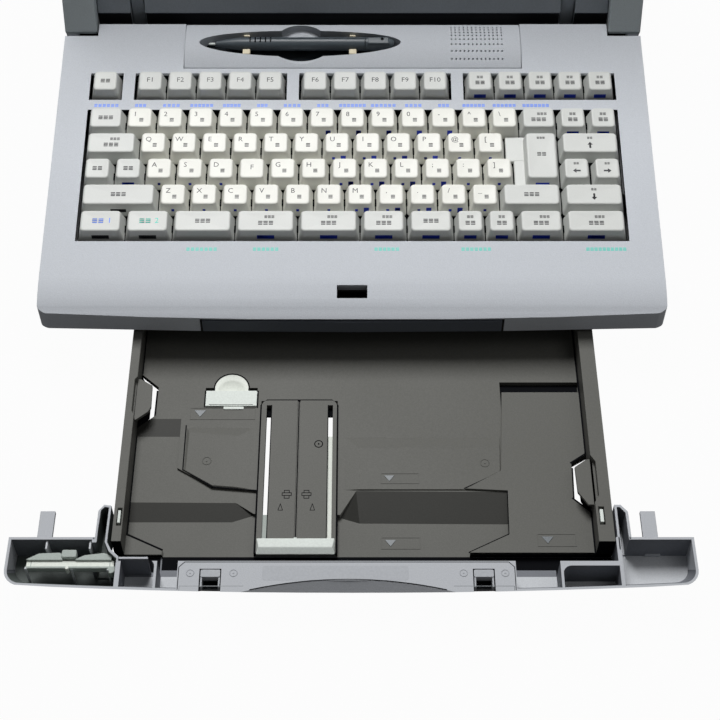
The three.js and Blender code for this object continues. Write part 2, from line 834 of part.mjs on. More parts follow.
function makeStrip() {
  const body = sideways(stripSection(), -stripHalf + clearance, stripHalf - clearance, stripSteps);
  const floor = stripCrown - recessDepth;
  const recess = onDeck(raised(recessOutline(), floor, stripDepth, recessSteps));
  const scoop = onDeck(bar('z', scoopHalf, floor, stripDepth, scoopX, recessY, scoopSteps));
  const pocketHalf = speakerRadius + clearance;
  const pocket = onDeck(block(speakerPlace.x - pocketHalf, speakerPlace.x + pocketHalf,
    speakerPlace.y - pocketHalf,
    speakerPlace.y + pocketHalf, -2 * stripDepth, -stripCrown + overrun));
  const holes = [];
  for (let column = 0; column < grilleColumns; column += 1) {
    const x = grilleLeft + (column / (grilleColumns - 1)) * (grilleRight - grilleLeft);
    for (let line = 0; line < grilleRows; line += 1) {
      const y = speakerPlace.y + (line / (grilleRows - 1) - 0.5) * (2 * pocketHalf - 2 * grilleHole);
      holes.push(block(x - grilleHole / 2, x + grilleHole / 2, y - grilleHole / 2, y + grilleHole / 2,
        -stripCrown, stripDepth));
    }
  }
  return cut(body, [recess, scoop, pocket, onDeck(join(holes))]);
}

const stripSteps = 8;
const recessSteps = 12;
const scoopSteps = 24;

function makeSpeaker() {
  const top = -stripCrown + overrun - clearance;
  return onDeck(bar('z', speakerRadius, top - speakerDepth, top, speakerPlace.x, speakerPlace.y, 24));
}

// Stylus with a tapered nose and a rounded cap
function makePen() {
  const length = penRight - penLeft;
  const shares = [[0, 0], [0.01, 0.15], [0.04, 0.26], [0.12, 0.62], [0.2, 0.9], [0.3, 1], [0.86, 1],
    [0.94, 0.84],
    [0.985, 0.5], [1, 0]];
  const profile = shares.map(([along, wide]) => new THREE.Vector2(wide * penRadius, along * length));
  const geometry = new THREE.LatheGeometry(profile, 16);
  geometry.rotateZ(-Math.PI / 2);
  geometry.translate(penLeft, recessY, penAxis);
  return onDeck(toSolid(geometry));
}

const clip = { half: 2, wall: 1, floor: 0.7 };

function makePenClip(x) {
  const low = stripCrown - recessDepth + clearance;
  const inner = penRadius + clearance;
  const outer = block(x - clip.half, x + clip.half, recessY - inner - clip.wall,
    recessY + inner + clip.wall,
    low, penAxis);
  const gap = block(x - clip.half - overrun, x + clip.half + overrun, recessY - inner, recessY + inner,
    low + clip.floor, penAxis + overrun);
  return onDeck(outer.subtract(gap));
}

// Lid pieces, in the lid frame
const lidFieldFront = lidFront + lidFrontRim;
const latch = { half: 7, back: 6, front: 2, low: 6, high: 6, travel: 2 };
const knuckle = { width: 7, radius: 3.5 };

function makeLidShell() {
  const outer = sideways(outline([
    [lidFront, lidRim + cornerRadius / 2],
    [lidFront + cornerRadius / 2, lidRim],
    [lidTail - lidTailBevel, lidRim],
    [lidTail, lidRim + lidTailBevel],
    [lidTail, lidOuter - cornerRadius],
    [lidTail - cornerRadius, lidOuter],
    [lidFront + cornerRadius, lidOuter],
    [lidFront, lidOuter - cornerRadius],
  ]), -halfWidth, halfWidth);
  const well = block(-lidSide, lidSide, lidFieldFront, bezelBack - lidWall, lidRim - overrun,
    lidOuter - lidWall);
  const mouth = sideways(outline([
    [bezelBack - lidWall - overrun, lidRim - overrun],
    [lidTail + overrun, lidRim - overrun],
    [lidTail + overrun, lidOuter - 2 * cornerRadius],
    [bezelBack + clearance, bezelFace + bezelThickness + clearance],
    [bezelBack - lidWall - overrun, bezelFace + bezelThickness + clearance],
  ]), -lidSide, lidSide);
  const rimPockets = [-1, 1].map((side) => {
    const inside = side * (lidSide + lidWall);
    const outside = side * (halfWidth - lidWall);
    return join([
      block(Math.min(inside, outside), Math.max(inside, outside), lidFieldFront, bezelBack - lidWall,
        lidRim + lidWall, lidOuter - lidWall),
      block(Math.min(side * (lidSide - overrun), inside + side), Math.max(side * (lidSide - overrun),
        inside + side),
        lidFieldFront, bezelBack - lidWall, 0, lidOuter - lidWall),
    ]);
  });
  const slots = [-1, 1].map((side) => block(
    side * bracket.x - bracket.width / 2 - slideGap,
    side * bracket.x + bracket.width / 2 + slideGap,
    -bracket.barrel - overrun,
    lidTail + overrun,
    lidRim - overrun,
    lidOuter + overrun,
  ));
  const latchPocket = block(-latch.half - clearance, latch.half + clearance,
    lidFront + latch.front - clearance,
    lidFront + latch.front + latch.back + clearance, lidRim - overrun, lidRim + latch.high + clearance);
  const shell = cut(outer, [well, mouth, ...rimPockets, latchPocket]);
  const knuckles = [-1, 1].flatMap((side) => [-1, 1].map((hand) => {
    const inner = side * bracket.x + hand * (bracket.width / 2 + slideGap);
    const left = Math.min(inner, inner + hand * knuckle.width);
    const right = Math.max(inner, inner + hand * knuckle.width);
    return join([
      bar('x', knuckle.radius, left, right, 0, 0),
      block(left, right, -knuckle.radius, bezelBack, 0, lidOuter - lidWall / 2),
    ]);
  }));
  const bores = [-1, 1].map((side) => bar('x', bracket.pin + clearance,
    side * bracket.x - bracket.pinLength / 2 - clearance,
      side * bracket.x + bracket.pinLength / 2 + clearance,
    0, 0, 12));
  return cut(join([shell, ...knuckles]), [...slots, ...bores]);
}

function makeBezel() {
  const plate = block(-lidSide + clearance, lidSide - clearance, lidFieldFront + clearance, bezelBack,
    bezelFace, bezelFace + bezelThickness);
  const window = block(-screenWidth / 2, screenWidth / 2, screenBack - screenHeight, screenBack,
    bezelFace - overrun, bezelFace + bezelThickness + overrun);
  const gates = [-1, 1].map((side) => block(
    side * bracket.x - bracket.width / 2 - slideGap,
    side * bracket.x + bracket.width / 2 + slideGap,
    -bracket.barrel - overrun,
    bezelBack + overrun,
    bezelFace - overrun,
    bezelFace + bezelThickness + overrun,
  ));
  const knuckleSlots = [-1, 1].map((side) => block(
    side * bracket.x - bracket.pinLength / 2 - knuckle.width,
    side * bracket.x + bracket.pinLength / 2 + knuckle.width,
    -knuckle.radius - clearance,
    bezelBack + overrun,
    bezelFace - overrun,
    bezelFace + bezelThickness + overrun,
  ));
  return cut(plate, [window, ...gates, ...knuckleSlots]);
}

function makeScreen() {
  const edge = panelDepth;
  const front = bezelFace + bezelThickness + clearance;
  return block(-screenWidth / 2 - edge, screenWidth / 2 + edge, screenBack - screenHeight - edge,
    screenBack + edge,
    front, front + panelDepth);
}

function makeLatch() {
  const front = lidFront + latch.front;
  return block(-latch.half, latch.half, front, front + latch.back - latch.travel, lidRim - latch.low,
    lidRim + latch.high);
}

// Cassette pieces, where they stand with the cassette pulled out
const panelFront = bodyFront - cassetteOut;
const panelBack = panelFront + panelDepthY;
const cassetteFloor = panelBottom + panelWall;
const tray = { pocket: 1.5, lip: 1.5, top: 24 };
const arm = { left: trayLeft - 8.6, right: trayRight + 1.6, width: 6.5, wall: 1.5, back: -233 };
const tongue = { left: 11.5 - halfWidth, right: halfWidth - 24.5, width: 8.5, back: -228, height: 2.4 };
const middleBlock = { left: trayLeft + 37.4, right: trayRight - 55.4, back: -268 };
const cell = { left: trayLeft + 25.4, right: trayRight - 33.4, back: -263 };
const rib = { top: 15, thickness: 1.5, depth: 8 };
const backRibs = [21.6 - halfWidth, 39 - halfWidth];
const frontRibs = [12 - halfWidth, 31 - halfWidth];
const snap = { half: 6, left: middleBlock.left + 18.3, right: middleBlock.right - 17.5, depth: 12,
  wall: 1, low: 12 };

const edgeScoop = { middle: -1.6, half: 59.6, deep: 8, share: 1, steps: 144 };

function panelOutline(inset) {
  const shape = bodyOutline(inset, panelBack + cassetteOut + inset);
  const points = shape.getPoints(caseSteps * 2);
  return new THREE.Shape(points.map((point) => new THREE.Vector2(point.x, point.y - cassetteOut)));
}

// Moves each level of a solid in Y by a share of its depth under the rim
function leaned(solid, share) {
  const matrix = new THREE.Matrix4().set(1, 0, 0, 0, 0, 1, -share, share * panelRim, 0, 0, 1, 0, 0, 0, 0,
    1);
  return toSolid(toGeometry(solid).applyMatrix4(matrix));
}

// The front face draws back towards its foot
function panelBody(inset, low, high) {
  const straight = raised(panelOutline(inset), low, high);
  return straight.intersect(leaned(straight, panelLean / (panelRim - panelBottom)));
}

// Shallow finger scoop along the front edge, a bowed cut that runs out forwards
function scoopTool(extra) {
  const radius = (edgeScoop.half ** 2 + edgeScoop.deep ** 2) / (2 * edgeScoop.deep);
  const centre = panelFront - frontBow + edgeScoop.deep - radius;
  const tool = bar('z', radius + extra, panelBottom, panelRim + overrun, edgeScoop.middle, centre,
    edgeScoop.steps);
  const reach = block(edgeScoop.middle - 2 * edgeScoop.half, edgeScoop.middle + 2 * edgeScoop.half,
    centre, panelBack, 0,
    2 * panelRim);
  return leaned(tool, -edgeScoop.share).intersect(reach);
}

function makeFrontPanel() {
  const w = panelWall;
  const whole = panelBody(0, panelBottom, panelRim);
  const left = -halfWidth;
  const middle = [middleBlock.left, middleBlock.right];
  const deepFront = panelFront - frontBow + w;
  const pocket = (x0, x1, y1) => panelBody(w, cassetteFloor, panelRim + overrun)
    .intersect(block(x0, x1, deepFront - overrun, y1, panelBottom, panelRim + overrun));
  const pockets = [
    pocket(left, trayLeft - w, panelBack - w),
    pocket(trayLeft, cell.left - w, cell.back - w),
    pocket(cell.left, middle[0], panelBack + overrun),
    pocket(middle[1], cell.right, panelBack + overrun),
    pocket(cell.right + w, trayRight, cell.back - w),
    pocket(trayRight + w, halfWidth, panelBack - w),
  ];
  const bay = block(trayLeft - slideGap, trayRight + slideGap, cell.back, panelBack + overrun,
    cassetteFloor,
    panelRim + overrun);
  const bayMiddle = block(middle[0], middle[1], middleBlock.back, panelBack + overrun, cassetteFloor,
    panelRim + overrun);
  const hollow = block(middle[0] + w, middle[1] - w, panelFront + w, middleBlock.back - w,
    panelBottom - overrun,
    panelRim - w);
  const under = hollow.intersect(panelBody(w, panelBottom - overrun, panelRim)).subtract(scoopTool(2 * w));
  const snaps = [snap.left, snap.right].map((x) => block(x - snap.half, x + snap.half,
    panelFront - frontBow - overrun, middleBlock.back - snapBack, snap.low, panelRim + overrun));
  const arms = [arm.left, arm.right].map((x) => cut(
    block(x, x + arm.width, panelBack - w, arm.back, cassetteFloor, panelRim),
    [block(x + arm.wall, x + arm.width - arm.wall, panelBack - w - overrun, arm.back - arm.wall,
      cassetteFloor + arm.wall, panelRim + overrun)],
  ));
  const tongues = [tongue.left, tongue.right].map((x) => block(x, x + tongue.width, panelBack - w,
    tongue.back,
    cassetteFloor, cassetteFloor + tongue.height));
  const ribs = [
    ...backRibs.map((x) => block(x, x + rib.thickness, panelBack - w - rib.depth, panelBack - w / 2,
      panelBottom, rib.top)),
    ...frontRibs.map((x) => block(x, x + rib.thickness, panelFront, panelFront + rib.depth, panelBottom,
      rib.top)
      .intersect(whole)),
  ];
  const body = cut(whole, [...pockets, bay, bayMiddle, under, scoopTool(0), ...snaps]);
  return join([body, ...arms, ...tongues, ...ribs]);
}

const snapBack = 5;

// Spring clip let into the middle block, hooked over its edge
function makeSnap(x) {
  const half = snap.half - clearance;
  const back = middleBlock.back - snapBack - clearance;
  const front = back - snap.depth;
  const outer = block(x - half, x + half, front, back, snap.low + clearance, panelRim)
    .intersect(panelBody(clearance, panelBottom, panelRim));
  const gap = block(x - half + snap.wall, x + half - snap.wall, front - overrun, back - snap.half / 2,
    snap.low, panelRim + overrun);
  return outer.subtract(gap);
}

const hole = { x: -71.8, y: -144.5, radius: 10.4, half: 15.2, depth: 12 };
const notch = { deep: 12, back: -134, front: -172, slope: 9 };
const rightNotch = { back: -192, front: -231 };
const plate = { left: trayRight - 56.4, back: -148, slotBack: -140 };
const ramp = { back: -214.5, front: -235.2, height: 3 };
const leftStep = { right: trayLeft + 30.4, back: -178 };

function makeTray() {
  const floor = block(trayLeft, trayRight, trayFrontY, trayBack, trayBottom, trayFloor);
  const left = block(trayLeft, trayLeft + trayLeftFlange, trayFrontY, trayBack, trayBottom, tray.top);
  const right = block(trayRight - trayRightFlange, trayRight, trayFrontY, trayBack, trayBottom, tray.top);
  const back = block(trayLeft, trayRight, trayBack - trayBackWall, trayBack, trayBottom,
    tray.top - tray.lip);
  const under = [
    block(trayLeft + tray.pocket, trayLeft + trayLeftFlange - tray.pocket, trayFrontY + tray.lip,
      trayBack - tray.lip, trayBottom - overrun, tray.top - tray.lip),
    block(trayRight - trayRightFlange + tray.pocket, trayRight - tray.pocket, trayFrontY + tray.lip,
      trayBack - tray.lip, trayBottom - overrun, tray.top - tray.lip),
  ];
  const inLeft = trayLeft + trayLeftFlange;
  const inRight = trayRight - trayRightFlange;
  const wedge = (x0, x1) => sideways(outline([
    [ramp.back, trayBottom + overrun],
    [ramp.back, trayFloor + raisedStep],
    [ramp.back - ramp.height, trayFloor + raisedStep],
    [ramp.front, trayFloor],
    [ramp.front, trayBottom + overrun],
  ].reverse()), x0, x1);
  const mid = [railPlateLeft, railPlateRight];
  const relief = [
    block(plate.left, inRight + overrun, trayFrontY, plate.back, trayBottom, trayFloor + raisedStep),
    block(inLeft - overrun, leftStep.right, ramp.back, leftStep.back, trayBottom, trayFloor + raisedStep),
    wedge(inLeft - overrun, mid[0] - raisedStep),
    wedge(mid[1] + raisedStep, plate.left + overrun),
  ];
  const body = cut(join([floor, left, right, back]), under);
  return cut(join([body, ...relief]), [
    block(mid[0] - clearance, mid[1] + clearance, trayFrontY - overrun, railPlateBack + clearance,
      trayBottom - overrun, tray.top),
    bar('z', hole.radius, trayBottom - overrun, tray.top, hole.x, hole.y, 24),
    block(hole.x - hole.half - clearance, hole.x + hole.half + clearance, hole.y - hole.depth - clearance,
      hole.y + clearance, trayBottom - overrun, tray.top),
    block(plate.left, inRight - tray.pocket, plate.back, plate.slotBack, trayBottom - overrun,
      tray.top - tray.lip),
    block(inLeft + overrun, inLeft + notch.deep, notch.front + notch.slope, notch.back - notch.slope,
      trayBottom - overrun, tray.top),
    block(inRight - notch.deep, inRight - overrun, rightNotch.front + notch.slope,
      rightNotch.back - notch.slope,
      trayBottom - overrun, tray.top),
  ]);
}

// Plate with two long slots in which the paper stop runs
const slots = { inset: 6, width: 4, back: -160, front: -250, groove: 1.6 };

function makeRailPlate() {
  const top = trayFloor + raisedStep;
  const body = block(railPlateLeft, railPlateRight, trayFrontY, railPlateBack, trayBottom, top);
  const cuts = [railPlateLeft + slots.inset, railPlateRight - slots.inset - slots.width].map((x) => block(
    x, x + slots.width, slots.front, slots.back, trayBottom - overrun, top + overrun));
  const middle = (railPlateLeft + railPlateRight) / 2;
  const groove = block(middle - slots.groove / 2, middle + slots.groove / 2, trayFrontY - overrun,
    railPlateBack + overrun, trayFloor + overrun / 2, top + overrun);
  return cut(body, [...cuts, groove]);
}

function makePaperStop() {
  const low = trayFloor + raisedStep + clearance;
  const front = slots.front - slots.inset + slideGap;
  const bodyLeft = railPlateLeft + overrun;
  const bodyRight = railPlateRight - overrun;
  const body = block(bodyLeft, bodyRight, front, front + stopDepth, low, low + stopHeight);
  const pegs = [railPlateLeft + slots.inset, railPlateRight - slots.inset - slots.width].map((x) => block(
    x + clearance, x + slots.width - clearance, slots.front + clearance, slots.front + stopDepth / 3,
    trayBottom, low + overrun));
  return join([body, ...pegs]);
}

function makePostcardStop() {
  return block(hole.x - hole.half, hole.x + hole.half, hole.y - hole.depth, hole.y - slideGap,
    trayBottom, trayFloor + raisedStep);
}

// Spare paper guide lying in the left pocket
const spare = { left: 11 - halfWidth, right: 52 - halfWidth, back: -264, front: -273, low: 15.3, top: 22,
  knob: 3 };

function makeStoredGuide() {
  const shape = outline([
    [spare.front, spare.low],
    [spare.back, spare.low],
    [spare.back, spare.top - spare.knob],
    [spare.front + spare.knob, spare.top],
    [spare.front, spare.top],
  ]);
  return sideways(shape, spare.left, spare.right);
}

// Carry handle: a grip bar flush in the front with two arms that slide in the case
function makeHandle() {
  const front = bodyFront - frontBow + clearance;
  const grip = block(-handleHalf, handleHalf, front, bodyFront + handleDepth - frontBow, handleBottom,
    handleTop - overrun).intersect(raised(bodyOutline(clearance), handleBottom - overrun, handleTop));
  const arms = [-handleHalf, handleHalf - handleArm].map((x) => block(x, x + handleArm, bodyFront - overrun,
    front + handleReach, chassisTop + clearance, chassisTop + clearance + handleArmHeight));
  return join([grip, ...arms]);
}

function makeInlet() {
  const body = block(inlet.x - inlet.half, inlet.x + inlet.half, bodyBack - inlet.depth, bodyBack,
    inlet.bottom, inlet.top);
  const mouth = block(inlet.x - inlet.half + 2 * inletWall, inlet.x + inlet.half - 2 * inletWall,
    bodyBack - inlet.depth + inletWall, bodyBack + overrun, inlet.bottom + 2 * inletWall,
      inlet.top - 2 * inletWall);
  return body.subtract(mouth);
}

const inletWall = 2;

function makePowerSwitch() {
  return block(powerSwitch.x - powerSwitch.half, powerSwitch.x + powerSwitch.half,
    bodyBack - powerSwitch.depth,
    bodyBack + powerSwitch.proud, powerSwitch.bottom, powerSwitch.top);
}

// The whole machine
const machine = new THREE.Group();

function add(parent, name, solid, look) {
  parent.add(piece(name, solid, look()));
}

add(machine, 'lower_case', makeLowerCase(), looks.deck);
add(machine, 'upper_case', makeUpperCase(), looks.deck);
add(machine, 'rear_cover', makeRearCover(), looks.deck);
add(machine, 'chassis_plate', makeChassis(), looks.steel);
add(machine, 'hinge_bracket_left', makeBracket(-1), looks.steel);
add(machine, 'hinge_bracket_right', makeBracket(1), looks.steel);
for (const [name, side] of [['left', -1], ['right', 1]]) {
  const x = side * (halfWidth - footInset);
  add(machine, `foot_front_${name}`, makeFoot(x, lowerFront + footInset), looks.rubber);
  add(machine, `foot_back_${name}`, makeFoot(x, bodyBack - footInset), looks.rubber);
}
add(machine, 'keyboard_plate', makeKeyboardPlate(), looks.steel);
add(machine, 'dome_sheet', onDeck(makeDomeSheet()), looks.rubber);
add(machine, 'key_guide_frame', onDeck(makeGuideFrame()), looks.dark);
for (const [name, bank] of Object.entries(banks)) {
  add(machine, name, onDeck(makeBank(bank)), whiteBanks.includes(name) ? looks.whiteKey : looks.greyKey);
}
for (const [name, [from, to, line]] of Object.entries(singleKeys)) {
  add(machine, name, onDeck(makeCap(from, to, line)), looks.greyKey);
}
add(machine, 'enter_key', onDeck(makeEnterKey()), looks.greyKey);
add(machine, 'arrow_keys', onDeck(makeArrowKeys()), looks.greyKey);
add(machine, 'pen_strip', makeStrip(), looks.deck);
add(machine, 'speaker', makeSpeaker(), looks.dark);
add(machine, 'pen', makePen(), looks.dark);
add(machine, 'pen_clip_left', makePenClip(clipLeft), looks.pale);
add(machine, 'pen_clip_right', makePenClip(clipRight), looks.pale);
add(machine, 'main_board', makeMainBoard(), looks.board);
add(machine, 'floppy_drive', makeDrive(), looks.dark);
add(machine, 'eject_button', makeEjectButton(), looks.dark);
add(machine, 'contrast_dial', makeDial(), looks.dark);
add(machine, 'power_supply', makePowerSupply(), looks.steel);
add(machine, 'power_inlet', makeInlet(), looks.dark);
add(machine, 'power_switch', makePowerSwitch(), looks.dark);
add(machine, 'carry_handle', makeHandle(), looks.fascia);

// Printer
add(machine, 'printer_frame', makePrinterFrame(), looks.steel);
add(machine, 'platen_roller', makePlaten(), looks.rubber);
add(machine, 'platen_knob', makeKnob(), looks.dark);
add(machine, 'platen_gear', makePlatenGear(), looks.pale);
add(machine, 'feed_motor', makeFeedMotor(), looks.steel);
add(machine, 'pickup_roller', makePickupRoller(), looks.rubber);
add(machine, 'carriage_rail', makeCarriageRail(), looks.steel);
add(machine, 'carriage', makeCarriage(), looks.dark);
add(machine, 'ribbon_cartridge', makeRibbonCartridge(), looks.dark);
add(machine, 'printer_cover', makePrinterCover(), looks.deck);

// Lid, leaning back from the hinge line
const lid = new THREE.Group();
lid.position.set(0, hingeY, hingeHeight);
lid.rotation.x = -lidLean;
machine.add(lid);
add(lid, 'lid_shell', makeLidShell(), looks.cheek);
add(lid, 'lid_bezel', makeBezel(), looks.dark);
add(lid, 'lcd_panel', makeScreen(), looks.glass);
add(lid, 'lid_latch', makeLatch(), looks.dark);

// Cassette
add(machine, 'cassette_front', makeFrontPanel(), looks.panel);
add(machine, 'cassette_tray', makeTray(), looks.tray);
add(machine, 'rail_plate', makeRailPlate(), looks.tray);
add(machine, 'paper_stop', makePaperStop(), looks.pale);
add(machine, 'postcard_stop', makePostcardStop(), looks.pale);
add(machine, 'cassette_snap_left', makeSnap(snap.left), looks.pale);
add(machine, 'cassette_snap_right', makeSnap(snap.right), looks.pale);
add(machine, 'stored_guide', makeStoredGuide(), looks.cheek);

// The part's origin is the middle of its box on the table
machine.updateMatrixWorld(true);
const bounds = new THREE.Box3().setFromObject(machine);
const middle = bounds.getCenter(new THREE.Vector3());
machine.position.set(-middle.x, -middle.y, -bounds.min.z);

export default machine;
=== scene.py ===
import bpy
import bmesh
import math
from mathutils import Vector, Matrix


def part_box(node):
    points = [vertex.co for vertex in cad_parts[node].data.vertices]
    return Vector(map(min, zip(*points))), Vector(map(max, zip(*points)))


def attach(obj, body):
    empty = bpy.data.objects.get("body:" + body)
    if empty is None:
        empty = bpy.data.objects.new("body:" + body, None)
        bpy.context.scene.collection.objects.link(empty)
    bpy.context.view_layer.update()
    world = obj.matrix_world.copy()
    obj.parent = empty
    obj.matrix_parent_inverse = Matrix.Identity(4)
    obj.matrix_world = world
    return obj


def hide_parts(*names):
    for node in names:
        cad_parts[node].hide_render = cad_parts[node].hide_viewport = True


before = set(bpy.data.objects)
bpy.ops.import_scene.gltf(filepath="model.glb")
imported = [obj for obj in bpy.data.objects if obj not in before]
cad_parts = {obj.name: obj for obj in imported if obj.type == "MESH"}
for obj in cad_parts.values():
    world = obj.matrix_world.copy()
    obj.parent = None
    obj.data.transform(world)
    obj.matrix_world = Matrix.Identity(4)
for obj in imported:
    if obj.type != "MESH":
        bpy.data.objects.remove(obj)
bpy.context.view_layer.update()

print("frame loaded:", len(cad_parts), "nodes")

# the middle of the letter row lies this far behind the frame's origin
rowShift = 0.0063
# deck coordinates are square to the keyboard's slope
deck = {"tilt": 9, "rise": 0.0631, "back": 0.0008}
deckMatrix = Matrix.Translation((0, rowShift + deck["back"], deck["rise"])) @ Matrix.Rotation(
    math.radians(deck["tilt"]), 4, 'X')


# camera: above and in front of the machine, looking down by 54 degrees
view = {"right": 0.0047, "front": -0.671, "height": 0.763, "lookDown": 54.0, "lens": 77.0}
cameraData = bpy.data.cameras.new("viewCamera")
cameraData.lens = view["lens"]
cameraData.sensor_width = 36.0
cameraData.clip_start = 0.05
camera = bpy.data.objects.new("viewCamera", cameraData)
bpy.context.scene.collection.objects.link(camera)
camera.location = (view["right"], view["front"] + rowShift, view["height"])
camera.rotation_euler = (math.radians(90 - view["lookDown"]), 0, 0)
bpy.context.scene.camera = camera
print("camera placed")


# small helpers for modelling by hand
def deselectAll():
    if bpy.context.object and bpy.context.object.mode != 'OBJECT':
        bpy.ops.object.mode_set(mode='OBJECT')
    bpy.ops.object.select_all(action='DESELECT')


def pick(piece):
    deselectAll()
    piece.select_set(True)
    bpy.context.view_layer.objects.active = piece


def settle(piece):
    # put the place into the mesh, so the object sits at the origin
    pick(piece)
    bpy.ops.object.transform_apply(location=True, rotation=True, scale=True)
    return piece


def applyAll(piece):
    pick(piece)
    for modifier in list(piece.modifiers):
        bpy.ops.object.modifier_apply(modifier=modifier.name)
    return piece


def bevelEdges(piece, width, segments=2, angle=30):
    modifier = piece.modifiers.new("softEdges", 'BEVEL')
    modifier.width = width
    modifier.segments = segments
    modifier.limit_method = 'ANGLE'
    modifier.angle_limit = math.radians(angle)
    modifier.use_clamp_overlap = True
    applyAll(piece)
    return piece


def smooth(piece, angle=32):
    pick(piece)
    bpy.ops.object.shade_smooth_by_angle(angle=math.radians(angle))
    modifier = piece.modifiers.new("evenNormals", 'WEIGHTED_NORMAL')
    modifier.weight = 90
    modifier.keep_sharp = True
    return applyAll(piece)


def latest(name):
    # the part that was added last
    piece = bpy.context.object
    piece.name = name
    return settle(piece)


def boxPiece(name, low, high):
    deselectAll()
    middle = [(a + b) / 2 for a, b in zip(low, high)]
    bpy.ops.mesh.primitive_cube_add(size=1, location=middle)
    bpy.context.object.scale = [b - a for a, b in zip(low, high)]
    return latest(name)


def joinPieces(name, pieces):
    deselectAll()
    for piece in pieces:
        piece.select_set(True)
    bpy.context.view_layer.objects.active = pieces[0]
    if len(pieces) > 1:
        bpy.ops.object.join()
    pieces[0].name = name
    pieces[0].data.name = name
    return pieces[0]


def dress(piece, name):
    piece.data.materials.clear()
    piece.data.materials.append(finish[name])
    return piece


def moulded(piece, width, segments, name, angle=32):
    # soft edges, even shading and a finish
    return dress(smooth(bevelEdges(piece, width, segments), angle), name)


def faceOutward():
    bpy.ops.mesh.select_all(action='SELECT')
    bpy.ops.mesh.normals_make_consistent(inside=False)


def darken(pieces):
    # parts that show as gaps and shadows
    return [dress(piece, "darkPlasticAndShade") for piece in pieces]


# plastics and metals, each with its grain, colour drift and gloss variation
def grainMaterial(name, colour, look):
    material = bpy.data.materials.new(name)
    material.use_nodes = True
    nodes = material.node_tree.nodes
    links = material.node_tree.links
    nodes.clear()
    output = nodes.new('ShaderNodeOutputMaterial')
    shader = nodes.new('ShaderNodeBsdfPrincipled')
    place = nodes.new('ShaderNodeTexCoord')
    drift = nodes.new('ShaderNodeTexNoise')
    speck = nodes.new('ShaderNodeTexNoise')
    drift.inputs['Scale'].default_value = look["driftScale"]
    drift.inputs['Detail'].default_value = 3
    speck.inputs['Scale'].default_value = look["grainScale"]
    speck.inputs['Detail'].default_value = 4
    links.new(place.outputs['Object'], drift.inputs['Vector'])
    links.new(place.outputs['Object'], speck.inputs['Vector'])
    tone = nodes.new('ShaderNodeMix')
    tone.data_type = 'RGBA'
    spread = look["spread"]
    tone.inputs[6].default_value = (*[c * (1 - spread) for c in colour], 1)
    tone.inputs[7].default_value = (*[min(1, c * (1 + spread)) for c in colour], 1)
    links.new(drift.outputs['Fac'], tone.inputs[0])
    fleck = nodes.new('ShaderNodeMix')
    fleck.data_type = 'RGBA'
    fleck.blend_type = 'MULTIPLY'
    fleck.inputs[0].default_value = look["fleck"]
    fleckRamp = nodes.new('ShaderNodeValToRGB')
    fleckRamp.color_ramp.elements[0].position = 0.35
    fleckRamp.color_ramp.elements[0].color = (0.7, 0.7, 0.7, 1)
    fleckRamp.color_ramp.elements[1].position = 0.65
    links.new(speck.outputs['Fac'], fleckRamp.inputs['Fac'])
    links.new(tone.outputs[2], fleck.inputs[6])
    links.new(fleckRamp.outputs['Color'], fleck.inputs[7])
    links.new(fleck.outputs[2], shader.inputs['Base Color'])
    gloss = nodes.new('ShaderNodeMapRange')
    gloss.inputs['To Min'].default_value = look["rough"] - 0.07
    gloss.inputs['To Max'].default_value = look["rough"] + 0.07
    links.new(drift.outputs['Fac'], gloss.inputs['Value'])
    links.new(gloss.outputs['Result'], shader.inputs['Roughness'])
    bump = nodes.new('ShaderNodeBump')
    bump.inputs['Strength'].default_value = look["bump"]
    bump.inputs['Distance'].default_value = 0.0002
    links.new(speck.outputs['Fac'], bump.inputs['Height'])
    links.new(bump.outputs['Normal'], shader.inputs['Normal'])
    shader.inputs['Metallic'].default_value = look.get("metal", 0.0)
    shader.inputs['Specular IOR Level'].default_value = look.get("shine", 0.35)
    links.new(shader.outputs['BSDF'], output.inputs['Surface'])
    return material


def plain(red, green, blue):
    # a screen colour (0 to 255) as the linear colour that a shader takes
    def line(value):
        value = value / 255
        return value / 12.92 if value <= 0.04045 else ((value + 0.055) / 1.055) ** 2.4
    return (line(red), line(green), line(blue))


mould = {"driftScale": 9, "grainScale": 1500, "spread": 0.03, "fleck": 0.3, "rough": 0.6, "bump": 0.35,
         "shine": 0.2}
satin = {"driftScale": 14, "grainScale": 900, "spread": 0.05, "fleck": 0.25, "rough": 0.5, "bump": 0.15,
         "shine": 0.15}
capLook = {"driftScale": 30, "grainScale": 1800, "spread": 0.02, "fleck": 0.12, "rough": 0.42, "bump": 0.12}
metalLook = {"driftScale": 20, "grainScale": 700, "spread": 0.06, "fleck": 0.3, "rough": 0.32, "bump": 0.1,
             "metal": 1.0}
softLook = {"driftScale": 25, "grainScale": 1100, "spread": 0.08, "fleck": 0.4, "rough": 0.8, "bump": 0.4}
darkLook = {**satin, "rough": 0.8, "shine": 0.03}

